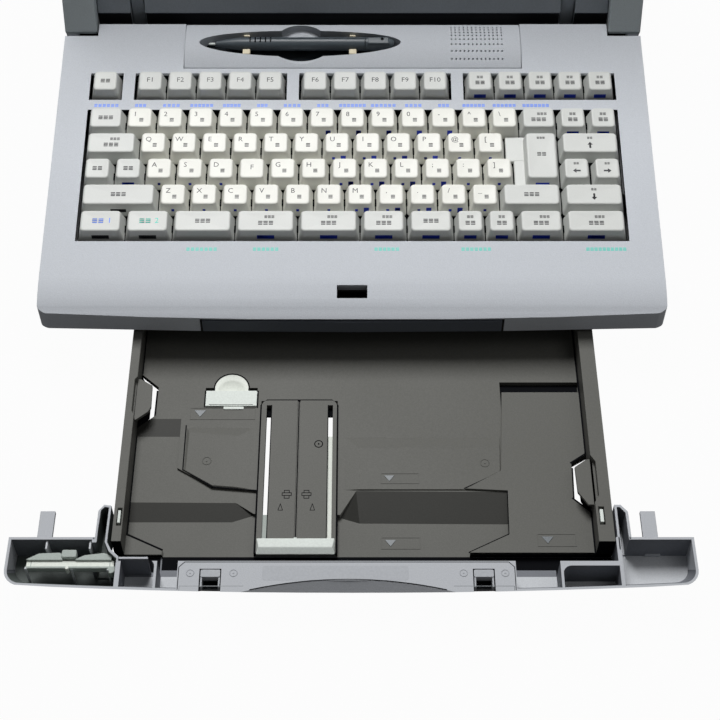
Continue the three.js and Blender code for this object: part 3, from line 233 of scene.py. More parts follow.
# screen colour and look of each finish
finishPlan = {
    "deckGrey": ((190, 194, 200), mould),
    # painted shade: the grey of the deck, darkened as on walls that face the front
    "fasciaShadedGrey": ((110, 117, 127), mould),
    "lidCheek": ((170, 178, 181), mould),
    "bezelDark": ((126, 132, 138), satin),
    # painted shade for the lid's edge at the hinge
    "hingeShade": ((30, 31, 34), {**satin, "rough": 0.6, "shine": 0.1}),
    # painted shade for the slopes of the tray's floor
    "slopeShade": ((50, 50, 47), satin),
    # near-black: the own colour of dark inner parts, seams and grips, and painted shade in wells, gaps,
    # slots and holes
    "darkPlasticAndShade": ((14, 15, 18), darkLook),
    "spareLight": ((222, 226, 218), satin),
    "panelShade": ((116, 119, 125), mould),
    "handleGrey": ((88, 93, 101), mould),
    "labelGrey": ((166, 169, 174), satin),
    # painted shadow in the stylus recess and its upper scoop
    "recessShadow": ((30, 34, 37), darkLook),
    # painted shadow and painted light for the pockets of the cassette front
    "pocketShadow": ((84, 90, 88), mould),
    "pocketLit": ((196, 199, 203), mould),
    "creamMetal": ((222, 212, 186), satin),
    "slateDark": ((74, 82, 88), {**satin, "rough": 0.38, "shine": 0.4}),
    "trayGrey": ((92, 92, 88), {**satin, "grainScale": 1300, "fleck": 0.4}),
    "panelGrey": ((176, 179, 184), mould),
    "paleMould": ((214, 220, 215), satin),
    "spareGrey": ((166, 174, 169), mould),
    "capWhite": ((219, 219, 212), capLook),
    "capGrey": ((196, 198, 195), capLook),
    "steel": ((186, 188, 190), metalLook),
    "rubberBlack": ((40, 40, 42), softLook),
    "boardGreen": ((30, 88, 58), satin),
    "screenGlass": ((96, 106, 92), {**satin, "rough": 0.15, "bump": 0.02}),
    "inkDark": ((36, 36, 42), capLook),
    "inkBlue": ((26, 56, 190), capLook),
    "inkSky": ((78, 128, 240), capLook),
    "inkAqua": ((40, 205, 185), capLook),
}
finish = {name: grainMaterial(name, plain(*colour), look) for name, (colour, look) in finishPlan.items()}
print("materials made:", len(finish))

# every node of the frame first gets a finish: the finish of its real material, but for the lower case, rear
# cover, printer cover and knob a darker copy of the deck grey as painted shade
nodeFinish = {
    "deckGrey": ["upper_case", "pen_strip", "carry_handle"],
    "fasciaShadedGrey": ["lower_case", "rear_cover", "printer_cover", "platen_knob"],
    "lidCheek": ["lid_shell"],
    "bezelDark": ["lid_bezel", "hinge_bracket_left", "hinge_bracket_right", "eject_button",
                  "contrast_dial", "power_switch", "lid_latch"],
    "darkPlasticAndShade": ["key_guide_frame", "keyboard_plate", "dome_sheet"],
    "slateDark": ["pen"],
    "trayGrey": ["cassette_tray", "rail_plate"],
    "panelGrey": ["cassette_front", "cassette_snap_left", "cassette_snap_right"],
    "paleMould": ["platen_gear", "paper_stop", "postcard_stop", "pen_clip_left", "pen_clip_right"],
    "spareGrey": ["stored_guide"],
    "capWhite": ["letter_keys", "home_keys", "lower_keys", "number_keys"],
    "capGrey": ["function_keys", "bottom_keys", "esc_key", "tab_key", "left_shift_key",
                "right_shift_key", "enter_key", "arrow_keys"],
    "steel": ["chassis_plate", "floppy_drive", "feed_motor", "printer_frame", "carriage_rail",
              "power_supply"],
    "rubberBlack": ["carriage", "pickup_roller", "ribbon_cartridge", "speaker", "power_inlet",
                    "platen_roller", "foot_front_left", "foot_front_right", "foot_back_left",
                    "foot_back_right"],
    "boardGreen": ["main_board"],
    "screenGlass": ["lcd_panel"],
}
finishOfNode = {node: name for name, group in nodeFinish.items() for node in group}
for node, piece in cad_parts.items():
    dress(piece, finishOfNode[node])
print("nodes dressed")


# edit-mode helpers: choose faces, edges or points by their place or normal
def startEdit(piece, kind='FACE'):
    pick(piece)
    bpy.ops.object.mode_set(mode='EDIT')
    bpy.ops.mesh.select_mode(type=kind)
    bpy.ops.mesh.select_all(action='DESELECT')


def chooseFaces(piece, test):
    mesh = bmesh.from_edit_mesh(piece.data)
    for face in mesh.faces:
        face.select = bool(test(face.calc_center_median(), face.normal))
    mesh.select_flush_mode()
    bmesh.update_edit_mesh(piece.data)


def chooseEdges(piece, test):
    mesh = bmesh.from_edit_mesh(piece.data)
    for part in list(mesh.faces) + list(mesh.edges) + list(mesh.verts):
        part.select = False
    for edge in mesh.edges:
        edge.select = bool(test(edge.verts[0].co, edge.verts[1].co))
    mesh.select_flush_mode()
    bmesh.update_edit_mesh(piece.data)


def endEdit():
    bpy.ops.object.mode_set(mode='OBJECT')


def copyPiece(piece, name, matrix):
    twin = piece.copy()
    twin.data = piece.data.copy()
    twin.name = name
    bpy.context.scene.collection.objects.link(twin)
    twin.data.transform(matrix)
    return twin


def removePiece(piece):
    bpy.data.objects.remove(piece)


# key caps: a skirt that narrows to a slightly dished top, with printed marks
cap = {"pitch": 0.01905, "gap": 0.0006, "base": -0.004, "top": 0.005, "sideInset": 0.0021,
       "backInset": 0.0011, "frontInset": 0.0031, "corner": 0.0022, "edge": 0.0007, "dish": 0.00022,
       "rim": 0.0004, "dishSteps": ((0.72, 0.4), (0.5, 0.6)), "columns": 17.5, "stem": 0.002,
       "stemDeep": -0.0095, "stemTop": -0.0035, "web": 0.0025, "webThick": 0.001, "markRise": 0.00004}


def columnX(column):
    return (column - cap["columns"] / 2) * cap["pitch"]


def makeCap(units, rows=1):
    wide = units * cap["pitch"] - cap["gap"]
    deep = rows * cap["pitch"] - cap["gap"]
    shape = boxPiece("capShape", (-wide / 2, -deep / 2, cap["base"]), (wide / 2, deep / 2, cap["top"]))
    startEdit(shape)
    chooseFaces(shape, lambda place, normal: normal.z > 0.9)
    bpy.ops.transform.resize(value=((wide - 2 * cap["sideInset"]) / wide,
                                    (deep - cap["backInset"] - cap["frontInset"]) / deep, 1))
    bpy.ops.transform.translate(value=(0, (cap["frontInset"] - cap["backInset"]) / 2, 0))
    bpy.ops.mesh.select_mode(type='EDGE')
    chooseEdges(shape, lambda a, b: abs(a.z - b.z) > cap["top"])
    bpy.ops.mesh.bevel(offset=cap["corner"], segments=4, affect='EDGES')
    chooseEdges(shape, lambda a, b: a.z > cap["top"] - 1e-5 and b.z > cap["top"] - 1e-5)
    bpy.ops.mesh.bevel(offset=cap["edge"], segments=2, affect='EDGES')
    bpy.ops.mesh.select_mode(type='FACE')
    chooseFaces(shape, lambda place, normal: normal.z > 0.99)
    bpy.ops.mesh.inset(thickness=cap["rim"])
    for shrink, fall in cap["dishSteps"]:
        bpy.ops.mesh.extrude_region_move()
        bpy.ops.transform.resize(value=(shrink, shrink, 1))
        bpy.ops.transform.translate(value=(0, 0, -cap["dish"] * fall))
    endEdit()
    # the stem under the cap
    stem = boxPiece("stem", (-cap["stem"], -cap["stem"], cap["stemDeep"]),
                    (cap["stem"], cap["stem"], cap["stemTop"]))
    return smooth(joinPieces("capShape", [shape, bevelEdges(stem, 0.0004, 1)]), 38)


capShapes = {}


def placeCap(units, middle, row, name, rows=1):
    if (units, rows) not in capShapes:
        capShapes[(units, rows)] = makeCap(units, rows)
    place = Matrix.Translation((columnX(middle), row * cap["pitch"], 0))
    return dress(copyPiece(capShapes[(units, rows)], "cap", place), name)


# printed marks: where the search for the cap starts, and the sizes of one stroke mark
probe = {"above": 0.03, "before": 0.05}
strokePlan = {"half": 0.0010, "line": 0.00025, "rows": (-0.0008, 0, 0.0008), "thick": 0.00004,
              "pitch": 0.0025}


def settleOn(mark, target, alongY=False):
    # lay each point of a printed mark on the cap under it, or on the skirt behind it
    for point in mark.data.vertices:
        start = Vector((point.co.x, point.co.y, probe["above"]))
        if alongY:
            start = Vector((point.co.x, target.data.vertices[0].co.y - probe["before"], point.co.z))
        step = Vector((0, 1, 0)) if alongY else Vector((0, 0, -1))
        hit, spot = target.ray_cast(start, step)[:2]
        if hit:
            point.co = spot - step * cap["markRise"]
    return mark


# one plain mark: three short strokes, as a stand-in for printed words
def makeStrokes():
    half, line = strokePlan["half"], strokePlan["line"]
    bars = [boxPiece("stroke", (-half, height - line, 0), (half, height + line, strokePlan["thick"]))
            for height in strokePlan["rows"]]
    startEdit(bars[0])
    bpy.ops.mesh.select_all(action='SELECT')
    bpy.ops.mesh.subdivide(number_cuts=1)
    endEdit()
    return joinPieces("strokes", bars)


strokes = makeStrokes()


def wordMark(x, y, count, size, ink, target):
    marks = []
    for index in range(count):
        shift = (index - (count - 1) / 2) * strokePlan["pitch"] * size
        place = Matrix.Translation((x + shift, y, 0)) @ Matrix.Diagonal((size, size, 1, 1))
        marks.append(dress(copyPiece(strokes, "wordMark", place), ink))
    return [settleOn(mark, target) for mark in marks]


def skirtMark(x, low, high, width, ink, target):
    mark = boxPiece("skirtMark", (x - width / 2, -0.0001, low), (x + width / 2, 0, high))
    return dress(settleOn(mark, target, True), ink)


def textMark(words, x, y, size, ink, target):
    deselectAll()
    bpy.ops.object.text_add(location=(x, y, 0))
    mark = bpy.context.object
    mark.data.body = words
    mark.data.size = size
    mark.data.align_x = 'CENTER'
    mark.data.align_y = 'CENTER'
    mark.data.resolution_u = 2
    bpy.ops.object.convert(target='MESH')
    mark = settle(bpy.context.object)
    return dress(settleOn(mark, target), ink)


# which caps stand where: start column, row, widths, and the marks on each
white, grey = "capWhite", "capGrey"
dark, blue = "inkDark", "inkBlue"
capRows = {
    "function_keys": {"row": 2.5, "start": 1.5, "widths": [1] * 5 + [0.5] + [1] * 5 + [0.5] + [1] * 5,
                      "gaps": [5, 11], "words": [f"F{n}" for n in range(1, 6)] + [""]
                      + [f"F{n}" for n in range(6, 11)] + [""] + ["=="] * 5, "white": [],
                      "bars": list(range(12, 17))},
    "number_keys": {"row": 1, "start": 0, "widths": [1.25] + [1] * 13 + [1.25, 1, 1], "gaps": [],
                    "words": ["="] + list("1234567890-^") + ["\\"] + ["==", "==", "=="],
                    "white": list(range(1, 14)), "boxes": [7, 8, 9, 10, 11], "bars": [15, 16]},
    "letter_keys": {"row": 0, "start": 1.75, "widths": [1] * 12, "gaps": [], "words": list("QWERTYUIOP@["),
                    "white": list(range(12)), "boxes": [6, 7, 8, 9], "dots": [6, 7, 8, 9, 10, 11]},
    "home_keys": {"row": -1, "start": 0, "widths": [1] * 14, "gaps": [],
                  "words": ["=", "="] + list("ASDFGHJKL;:]"), "white": list(range(2, 14)),
                  "boxes": [8, 9, 10, 11], "bars": [1], "dots": [2, 3, 4, 8, 9, 10, 11, 12, 13]},
    "lower_keys": {"row": -2, "start": 2.5, "widths": [1] * 11, "gaps": [], "words": list("ZXCVBNM,./_"),
                   "white": list(range(11)), "boxes": [6, 7, 8, 9], "dots": list(range(11))},
    "bottom_keys": {"row": -3, "start": 0, "widths": [1.5, 1.5, 2, 2, 2, 1.5, 1.5, 1, 1, 1.5, 2],
                    "gaps": [], "white": [],
                    "words": ["blue", "aqua", "="] + ["=="] * 3 + ["="] + ["=="] * 4,
                    "bars": [0, 1, 3, 4, 5, 6, 7, 8, 9, 10], "darkBars": [0, 1]},
}
# marks on the caps: shift to the right, rise and size; marks on the skirts: low, high and width
markPlan = {"rise": 0.001, "beside": (-0.0015, 1.5), "digit": (0.0056, 0.0052), "lower": (0.0015, 1.3),
            "upper": (0.0022, 0.0028, 0.85), "function": (0.0006, 0.0050),
            "letter": (-0.0030, 0.0024, 0.0048), "second": (0.0010, -0.0018, 1.25)}
skirtPlan = {"box": (-0.0015, 0.0022, 0.0032), "boxShift": 0.0038, "dot": (-0.0005, 0.0012, 0.0018),
             "dotShift": -0.0022, "narrowBar": (-0.001, 0.0016, 0.0075), "wideBar": (-0.001, 0.0016, 0.0105),
             "shiftBar": (-0.001, 0.0012, 0.0095), "enterBar": (-0.0012, 0.0014, 0.0085)}


def markCap(target, word, middle, row, units, pale):
    x = columnX(middle)
    y = row * cap["pitch"] + markPlan["rise"]
    marks = []
    if word in ("blue", "aqua"):
        digit, ink = ("1", "inkSky") if word == "blue" else ("2", "inkAqua")
        shift, size = markPlan["beside"]
        marks += wordMark(x + shift, y, 2, size, ink, target)
        shift, size = markPlan["digit"]
        marks.append(textMark(digit, x + shift, y, size, ink, target))
    elif word.startswith("="):
        count = 2 if units <= 1 else 3
        down, size = markPlan["lower"]
        marks += wordMark(x, y - (down if word == "==" else 0), count, size, dark, target)
        if word == "==":
            shift, rise, size = markPlan["upper"]
            marks += wordMark(x + (shift if units > 1 else 0), y + rise, count, size, dark, target)
    elif word.startswith("F"):
        rise, size = markPlan["function"]
        marks.append(textMark(word, x, y + rise, size, dark, target))
    elif pale:
        shift, rise, size = markPlan["letter"]
        marks.append(textMark(word, x + shift, y + rise, size, dark, target))
        shift, rise, size = markPlan["second"]
        marks += wordMark(x + shift, y + rise, 1, size, dark, target)
    return marks


def finishKey(name, parts, node):
    # one body of caps and marks, laid on the keyboard's slope
    key = joinPieces(name, parts)
    key.data.transform(deckMatrix)
    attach(key, node)
    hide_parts(node)


for node, plan in capRows.items():
    parts = []
    column = plan["start"]
    for index, units in enumerate(plan["widths"]):
        if index not in plan["gaps"]:
            middle = column + units / 2
            pale = index in plan["white"]
            target = placeCap(units, middle, plan["row"], white if pale else grey)
            parts.append(target)
            parts += markCap(target, plan["words"][index], middle, plan["row"], units, pale)
            x = columnX(middle)
            if index in plan.get("boxes", []):
                parts.append(skirtMark(x + skirtPlan["boxShift"], *skirtPlan["box"], blue, target))
            if index in plan.get("dots", []):
                shift = skirtPlan["dotShift"] if index in plan.get("boxes", []) else 0
                parts.append(skirtMark(x + shift, *skirtPlan["dot"], blue, target))
            if index in plan.get("bars", []):
                ink = dark if index in plan.get("darkBars", []) else blue
                bar = skirtPlan["narrowBar" if units <= 1 else "wideBar"]
                parts.append(skirtMark(x, *bar, ink, target))
        column += units
    # the carrier that joins the caps of the row
    left = columnX(plan["start"]) + cap["pitch"] / 2
    right = columnX(column) - cap["pitch"] / 2
    across = plan["row"] * cap["pitch"]
    web = boxPiece("web", (left, across - cap["web"], cap["base"]),
                   (right, across + cap["web"], cap["base"] + cap["webThick"]))
    parts.append(dress(bevelEdges(web, 0.0002, 1), "darkPlasticAndShade"))
    finishKey(node.replace("_keys", "Caps"), parts, node)


# wide keys that stand alone
def arrowMark(x, y, turn, target):
    # a plain arrow: a shaft and a head, lying on the cap
    shaft = boxPiece("arrowShaft", (-0.0006, -0.0024, 0), (0.0006, 0.0004, 0.00004))
    head = boxPiece("arrowHead", (-0.0017, 0.0002, 0), (0.0017, 0.0022, 0.00004))
    startEdit(head)
    chooseFaces(head, lambda place, normal: normal.y > 0.9)
    bpy.ops.transform.resize(value=(0.06, 1, 1))
    endEdit()
    arrow = joinPieces("arrowMark", [shaft, head])
    arrow.data.transform(Matrix.Translation((x, y, 0)) @ Matrix.Rotation(math.radians(turn), 4, 'Z'))
    return dress(settleOn(arrow, target), dark)


singleKeys = {
    "esc_key": {"from": 0, "to": 1, "row": 2.5, "word": "=", "bar": None},
    "tab_key": {"from": 0, "to": 1.75, "row": 0, "word": "==", "bar": None},
    "left_shift_key": {"from": 0, "to": 2.5, "row": -2, "word": "=", "bar": dark},
    "right_shift_key": {"from": 13.5, "to": 15.5, "row": -2, "word": "=", "bar": None},
}
for node, plan in singleKeys.items():
    units = plan["to"] - plan["from"]
    middle = (plan["to"] + plan["from"]) / 2
    target = placeCap(units, middle, plan["row"], grey)
    parts = [target] + markCap(target, plan["word"], middle, plan["row"], units, False)
    if plan["bar"]:
        parts.append(skirtMark(columnX(middle), *skirtPlan["shiftBar"], plan["bar"], target))
    finishKey(node.replace("_key", "Cap"), parts, node)

# return key: a tall cap with a low flat step on its left
enterPlan = {"from": 14.3, "to": 15.5, "row": -0.5, "stepTop": -0.001, "stepRight": 14.5, "overlap": 0.001,
             "steps": ((13.75, 0, 0), (14.0, 1, 0.00002)), "marks": ((0.0045, 3, 0.7), (-0.0075, 2, 1.2))}
middle = (enterPlan["from"] + enterPlan["to"]) / 2
target = placeCap(enterPlan["to"] - enterPlan["from"], middle, enterPlan["row"], grey, 2)
half = (cap["pitch"] - cap["gap"]) / 2
parts = [target]
for left, down, lower in enterPlan["steps"]:
    back = -half + enterPlan["overlap"] if down else half
    step = boxPiece("enterStep", (columnX(left) + cap["gap"] / 2, -down * cap["pitch"] - half, cap["base"]),
                    (columnX(enterPlan["stepRight"]), back, enterPlan["stepTop"] - lower))
    parts.append(dress(bevelEdges(step, 0.0008, 2), grey))
for y, count, size in enterPlan["marks"]:
    parts += wordMark(columnX(middle), y, count, size, dark, target)
parts.append(skirtMark(columnX(middle), *skirtPlan["enterBar"], blue, target))
finishKey("enterCap", parts, "enter_key")

# arrow keys on one carrier
arrowPlan = [(2, 16.5, 0, 0), (1, 16, -1, 90), (1, 17, -1, -90), (2, 16.5, -2, 180)]
parts = []
for units, middle, row, turn in arrowPlan:
    target = placeCap(units, middle, row, grey)
    parts.append(target)
    x, y = columnX(middle), row * cap["pitch"]
    parts += wordMark(x, y + 0.0045, 2, 0.7, dark, target)
    parts.append(arrowMark(x, y - 0.0008, turn, target))
spine = boxPiece("spine", (columnX(16.5) - cap["web"], -2 * cap["pitch"], cap["base"]),
                 (columnX(16.5) + cap["web"], 0, cap["base"] + cap["webThick"]))
parts.append(dress(bevelEdges(spine, 0.0002, 1), "darkPlasticAndShade"))
finishKey("arrowCaps", parts, "arrow_keys")
for shape in capShapes.values():
    removePiece(shape)
print("keys done")


# moulded shells: the node's own shape with softened edges
def softShape(node, name, width, segments=2, angle=34):
    deselectAll()
    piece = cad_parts[node].copy()
    piece.data = piece.data.copy()
    piece.name = name
    piece.parent = None
    for key in list(piece.keys()):
        del piece[key]
    bpy.context.scene.collection.objects.link(piece)
    startEdit(piece, 'VERT')
    bpy.ops.mesh.select_all(action='SELECT')
    bpy.ops.mesh.remove_doubles(threshold=0.00001)
    bpy.ops.mesh.dissolve_limited(angle_limit=math.radians(1.5))
    endEdit()
    bevelEdges(piece, width, segments, angle)
    return smooth(piece, 36)


softEdges = {
    "upper_case": ("deckShell", 0.0007, "base"),
    "lower_case": ("lowerShell", 0.0006, "base"),
    "rear_cover": ("rearShell", 0.0010, "base"),
    "lid_shell": ("lidShell", 0.0010, "lid"),
    "carry_handle": ("carryHandle", 0.0008, "handle"),
    "printer_cover": ("printerLid", 0.0006, "printer_cover"),
}
# the front draws back a little, most of all at its middle: at the middle, at the sides, and its slope
frontPull = {"upper_case": (0.0042, 0.0022, 0.158), "lower_case": (0.0034, 0.0014, 0),
             "carry_handle": (0.0034, 0.0014, 0)}
pullPlan = {"reach": 0.0125, "blend": 0.007, "half": 0.165}
handleGap = {"most": 0.0007, "share": 0.01}


def pullFront(piece, middle, side, slope):
    front = min(vertex.co.y for vertex in piece.data.vertices)
    for vertex in piece.data.vertices:
        share = min(1, max(0, (front + pullPlan["reach"] - vertex.co.y) / pullPlan["blend"]))
        pull = (middle - (middle - side) * min(1, abs(vertex.co.x) / pullPlan["half"]) ** 2) * share
        vertex.co.y += pull
        vertex.co.z += pull * slope
    return piece


for node, (name, width, body) in softEdges.items():
    shell = softShape(node, name, width)
    if node in frontPull:
        pullFront(shell, *frontPull[node])
    if node == "carry_handle":
        # a narrow gap at both ends of the handle
        for vertex in shell.data.vertices:
            gap = min(handleGap["most"], abs(vertex.co.x) * handleGap["share"])
            vertex.co.x -= math.copysign(gap, vertex.co.x)
    dress(shell, "handleGrey" if node == "carry_handle" else finishOfNode[node])
    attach(shell, body)
    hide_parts(node)
print("moulded shells done")


# plan points are in millimetres from the middle of the letter row
def planPoint(x, y, z=0.0):
    return Vector((x / 1000, y / 1000 + rowShift, z / 1000))


# cutters reach up to this height
above = 30


def prism(name, low, lowHeight, high, highHeight):
    # a circle of as many points as the outline, moved to the outline and drawn up
    deselectAll()
    bpy.ops.mesh.primitive_circle_add(vertices=len(low), radius=0.01, fill_type='NGON')
    piece = bpy.context.object
    piece.name = name
    # the circle runs anticlockwise, and so must the outline
    area = sum(a[0] * b[1] - b[0] * a[1] for a, b in zip(low, low[1:] + low[:1]))
    if area < 0:
        low, high = low[::-1], high[::-1]
    for point, (x, y) in zip(piece.data.vertices, low):
        point.co = planPoint(x, y, lowHeight)
    rise = (highHeight - lowHeight) / 1000
    startEdit(piece)
    bpy.ops.mesh.select_all(action='SELECT')
    bpy.ops.mesh.extrude_region_move(TRANSFORM_OT_translate={"value": (0, 0, rise)})
    endEdit()
    for point in piece.data.vertices:
        if point.co.z > (lowHeight + highHeight) / 2000:
            below = min(range(len(low)), key=lambda i: (planPoint(*low[i], highHeight) - point.co).length)
            point.co = planPoint(*high[below], highHeight)
    startEdit(piece)
    faceOutward()
    endEdit()
    return piece


def slab(name, points, low, high):
    return prism(name, points, low, points, high)


def plate(name, x0, x1, y0, y1, z0, z1):
    # a box between plan places
    return boxPiece(name, planPoint(x0, y0, z0), planPoint(x1, y1, z1))


def roundPlate(name, x0, x1, y0, y1, z0, z1, radius, segments=5):
    piece = plate(name, x0, x1, y0, y1, z0, z1)
    startEdit(piece, 'EDGE')
    chooseEdges(piece, lambda a, b: abs(a.z - b.z) > 0.8 * (z1 - z0) / 1000)
    bpy.ops.mesh.bevel(offset=radius / 1000, segments=segments, affect='EDGES')
    endEdit()
    return piece


def cutWith(piece, cutters, operation='DIFFERENCE'):
    for cutter in cutters:
        modifier = piece.modifiers.new("cut", 'BOOLEAN')
        modifier.operation = operation
        modifier.solver = 'EXACT'
        modifier.object = cutter
        pick(piece)
        bpy.ops.object.modifier_apply(modifier=modifier.name)
        removePiece(cutter)
    return piece


def barPiece(name, axis, radius, start, end, across, up, segments=24):
    # a round bar along X, Y or Z, in plan millimetres
    deselectAll()
    bpy.ops.mesh.primitive_cylinder_add(vertices=segments, radius=radius / 1000,
                                        depth=abs(end - start) / 1000)
    piece = bpy.context.object
    middle = (start + end) / 2
    if axis == 'x':
        piece.rotation_euler = (0, math.radians(90), 0)
        piece.location = planPoint(middle, across, up)
    elif axis == 'y':
        piece.rotation_euler = (math.radians(90), 0, 0)
        piece.location = planPoint(across, middle, up)
    else:
        piece.location = planPoint(across, up, middle)
    return latest(name)


# paper tray: floor levels, slopes, finger openings and side flanges
tray = {"left": -131.4, "right": 144.4, "inLeft": -126.1, "inRight": 135.4, "front": -256.5, "back": 85.0,
        "bottom": 5.8, "floor": 9.6, "lowLeft": 8.2, "lowFront": 6.0, "rightPlate": 10.9, "top": 24.0,
        "ledge": 20.0, "edge": 0.0003, "skin": 1, "wall": 2, "wallDrop": 1.5,
        "plateau": 10.4, "leftPlateau": 10.2, "corner": 8.6, "clipLow": 14}
bottom = tray["bottom"]
floorPiece = plate("trayFloor", tray["left"] + tray["skin"], tray["right"] - tray["skin"], tray["front"],
                   tray["back"], bottom, tray["floor"])
# the sunken areas: each outline at its floor, and the wider one at its rim
lowLeftTop = [(-126.5, -166.3), (-100.4, -166.3), (-100.4, -200.4), (-78.9, -213.6), (-50, -215.8),
              (-50, -258), (-126.5, -258)]
lowLeftFloor = [(-126.5, -178.1), (-100.4, -178.1)] + lowLeftTop[2:]
frontLeftTop = [(-126.5, -214.5), (-64.3, -215.2), (-55.4, -230.0), (-50, -230.0), (-50, -258), (-105, -258),
                (-105, -253.4), (-126.5, -243.2)]
frontLeftFloor = [(-126.5, -234.3), (-67.6, -234.3)] + frontLeftTop[2:]
frontRightTop = [(2.5, -215.8), (88.7, -216.4), (88.0, -244.7), (65.7, -255.9), (65.7, -258), (-12, -258),
                 (-12, -231.5), (-6.6, -231.5)]
frontRightFloor = [(4.4, -235.1), (88.5, -235.6)] + frontRightTop[2:]
floorPiece = cutWith(floorPiece, [
    prism("lowLeft", lowLeftFloor, tray["lowLeft"], lowLeftTop, tray["floor"] + 0.02),
    prism("frontLeft", frontLeftFloor, tray["lowFront"], frontLeftTop, tray["lowLeft"] + 1.5),
    prism("frontRight", frontRightFloor, tray["lowFront"], frontRightTop, tray["floor"] + 0.02),
    slab("leftOpening", [(-126.1, -134.3), (-115.4, -143.8), (-115.6, -164.0), (-126.1, -172.4)], 0, above),
    slab("rightOpening", [(136.4, -191.9), (126.4, -198.0), (125.6, -221.4), (136.4, -231.2)], 0, above),
    plate("railOpening", -53.7, -8.5, -260, -153.7, 0, above),
    barPiece("halfRound", 'z', 10.4, 0, above, -71.8, -144.5, 40),
    plate("stopOpening", -87.3, -56.3, -156.8, -144.2, 0, above),
    plate("shadeSlot", 88.0, 135.0, -148.0, -140.2, bottom + 0.4, above),
])
# the areas that stand above the floor
plateauLow = [(-6, -177.6), (86.5, -177.6), (85.5, -202.8), (64.6, -215.4), (-6, -215.4)]
plateauHigh = [(4.4, -187.4), (85.8, -187.4), (85.2, -202.9), (64.4, -215.3), (4.4, -215.3)]
leftPlateauLow = [(-97, -171.5), (-55.5, -171.5), (-55.5, -215.0), (-79.5, -212.8), (-97, -201.8)]
leftPlateauHigh = [(-95, -176), (-66, -179), (-66, -213.6), (-79.8, -212.4), (-95.5, -202.6)]
rightPlate = [(88.8, -148.2), (135.6, -148.2), (135.6, -191.9), (126.4, -198.0), (125.6, -221.4),
              (135.6, -230.0), (135.6, -256.4), (65.7, -256.4), (65.7, -255.9), (88.0, -244.7),
              (88.7, -216.4), (64.6, -215.1), (85.5, -202.8)]
raisedParts = [
    prism("plateau", plateauLow, tray["floor"] - 0.2, plateauHigh, tray["plateau"]),
    prism("leftPlateau", leftPlateauLow, tray["floor"] - 0.2, leftPlateauHigh, tray["leftPlateau"]),
    slab("rightPlate", rightPlate, bottom + 0.2, tray["rightPlate"]),
    slab("leftCorner", [(-126.3, -243.6), (-105.2, -253.6), (-105.2, -256.4), (-126.3, -256.4)],
         bottom + 0.2, tray["corner"]),
]
# side flanges with their notches and clip holes, and the ledges in the notches
flanges = {
    "left": {"sides": (tray["left"], tray["inLeft"]), "clip": (-129.6, -127.0, -246.5, -235.5),
             "notch": [(-124.0, -145.1), (-125.4, -145.1), (-127.6, -148.0), (-127.6, -170.0),
                       (-125.4, -174.5), (-124.0, -174.5)],
             "ledge": [(-127.0, -145.1), (-124.6, -145.1), (-117.6, -149.7), (-117.2, -165.2),
                       (-118.6, -168.4), (-125.4, -174.1), (-127.0, -174.1)]},
    "right": {"sides": (tray["inRight"], tray["right"]), "clip": (136.8, 140.0, -246.0, -234.5),
              "notch": [(134.0, -201.0), (135.6, -201.0), (138.0, -205.0), (138.0, -227.0),
                        (135.6, -231.4), (134.0, -231.4)],
              "ledge": [(137.0, -201.0), (133.6, -201.0), (126.6, -206.2), (127.0, -222.6),
                        (132.4, -231.0), (137.0, -231.0)]}}
sidePieces, ledges = [], []
for side, plan in flanges.items():
    flange = plate(side + "Flange", *plan["sides"], tray["front"], tray["back"], bottom, tray["top"])
    sidePieces.append(cutWith(flange, [slab("notch", plan["notch"], tray["ledge"], above),
                                       plate("clipHole", *plan["clip"], tray["clipLow"], above)]))
    ledges.append(slab(side + "Ledge", plan["ledge"], tray["ledge"] - 2, tray["ledge"]))
backWall = plate("backWall", tray["left"] + tray["skin"], tray["right"] - tray["skin"],
                 tray["back"] - tray["wall"], tray["back"], bottom, tray["top"] - tray["wallDrop"])
traySolids = [floorPiece] + sidePieces + [backWall] + raisedParts + ledges
for part in traySolids:
    bevelEdges(part, tray["edge"], 2, 25)
    dress(part, "trayGrey")
    smooth(part, 5)


def ringMark(x, y, z, radius=2.5):
    # round moulding mark: a raised ring with a centre pip
    deselectAll()
    bpy.ops.mesh.primitive_torus_add(major_radius=radius / 1000, minor_radius=0.0003, major_segments=28,
                                     minor_segments=6, location=planPoint(x, y, z))
    ring = latest("ring")
    pip = barPiece("pip", 'z', 0.5, z - 0.2, z + 0.25, x, y, 10)
    return [dress(smooth(part), "trayGrey") for part in (ring, pip)]


def frameMark(x0, x1, y0, y1, z, wall=0.35):
    # a thin raised frame with a plain triangle that points to the front
    outer = plate("frameMark", x0, x1, y0, y1, z - 0.3, z + 0.22)
    outer = cutWith(outer, [plate("frameHole", x0 + wall, x1 - wall, y0 + wall, y1 - wall, z - 1, z + 1)])
    middle, half = (y0 + y1) / 2, (y1 - y0) * 0.27
    left = x0 + (y1 - y0) * 0.3
    corners = [(left, middle + half), (left + 3 * half, middle + half), (left + 1.5 * half, middle - half)]
    pointer = slab("pointer", corners, z - 0.3, z + 0.3)
    return [dress(outer, "trayGrey"), dress(pointer, "slateDark")]


def shadeAndInkLine(points, height, width=0.7):
    # a dark line on the plan, one thin bar for each stretch: painted shade along gaps, steps and grooves,
    # and print for the plain signs
    bars = []
    for (x0, y0), (x1, y1) in zip(points, points[1:]):
        length = math.hypot(x1 - x0, y1 - y0)
        alongX, alongY = (x1 - x0) / length, (y1 - y0) / length
        sideX, sideY = -alongY * width / 2, alongX * width / 2
        # each bar runs on a little, so that the corners close
        x0, y0 = x0 - alongX * width / 3, y0 - alongY * width / 3
        x1, y1 = x1 + alongX * width / 3, y1 + alongY * width / 3
        corners = [(x0 + sideX, y0 + sideY), (x1 + sideX, y1 + sideY), (x1 - sideX, y1 - sideY),
                   (x0 - sideX, y0 - sideY)]
        bars.append(slab("shadeAndInkLine", corners, height - 0.4, height + 0.06))
    return darken(bars)
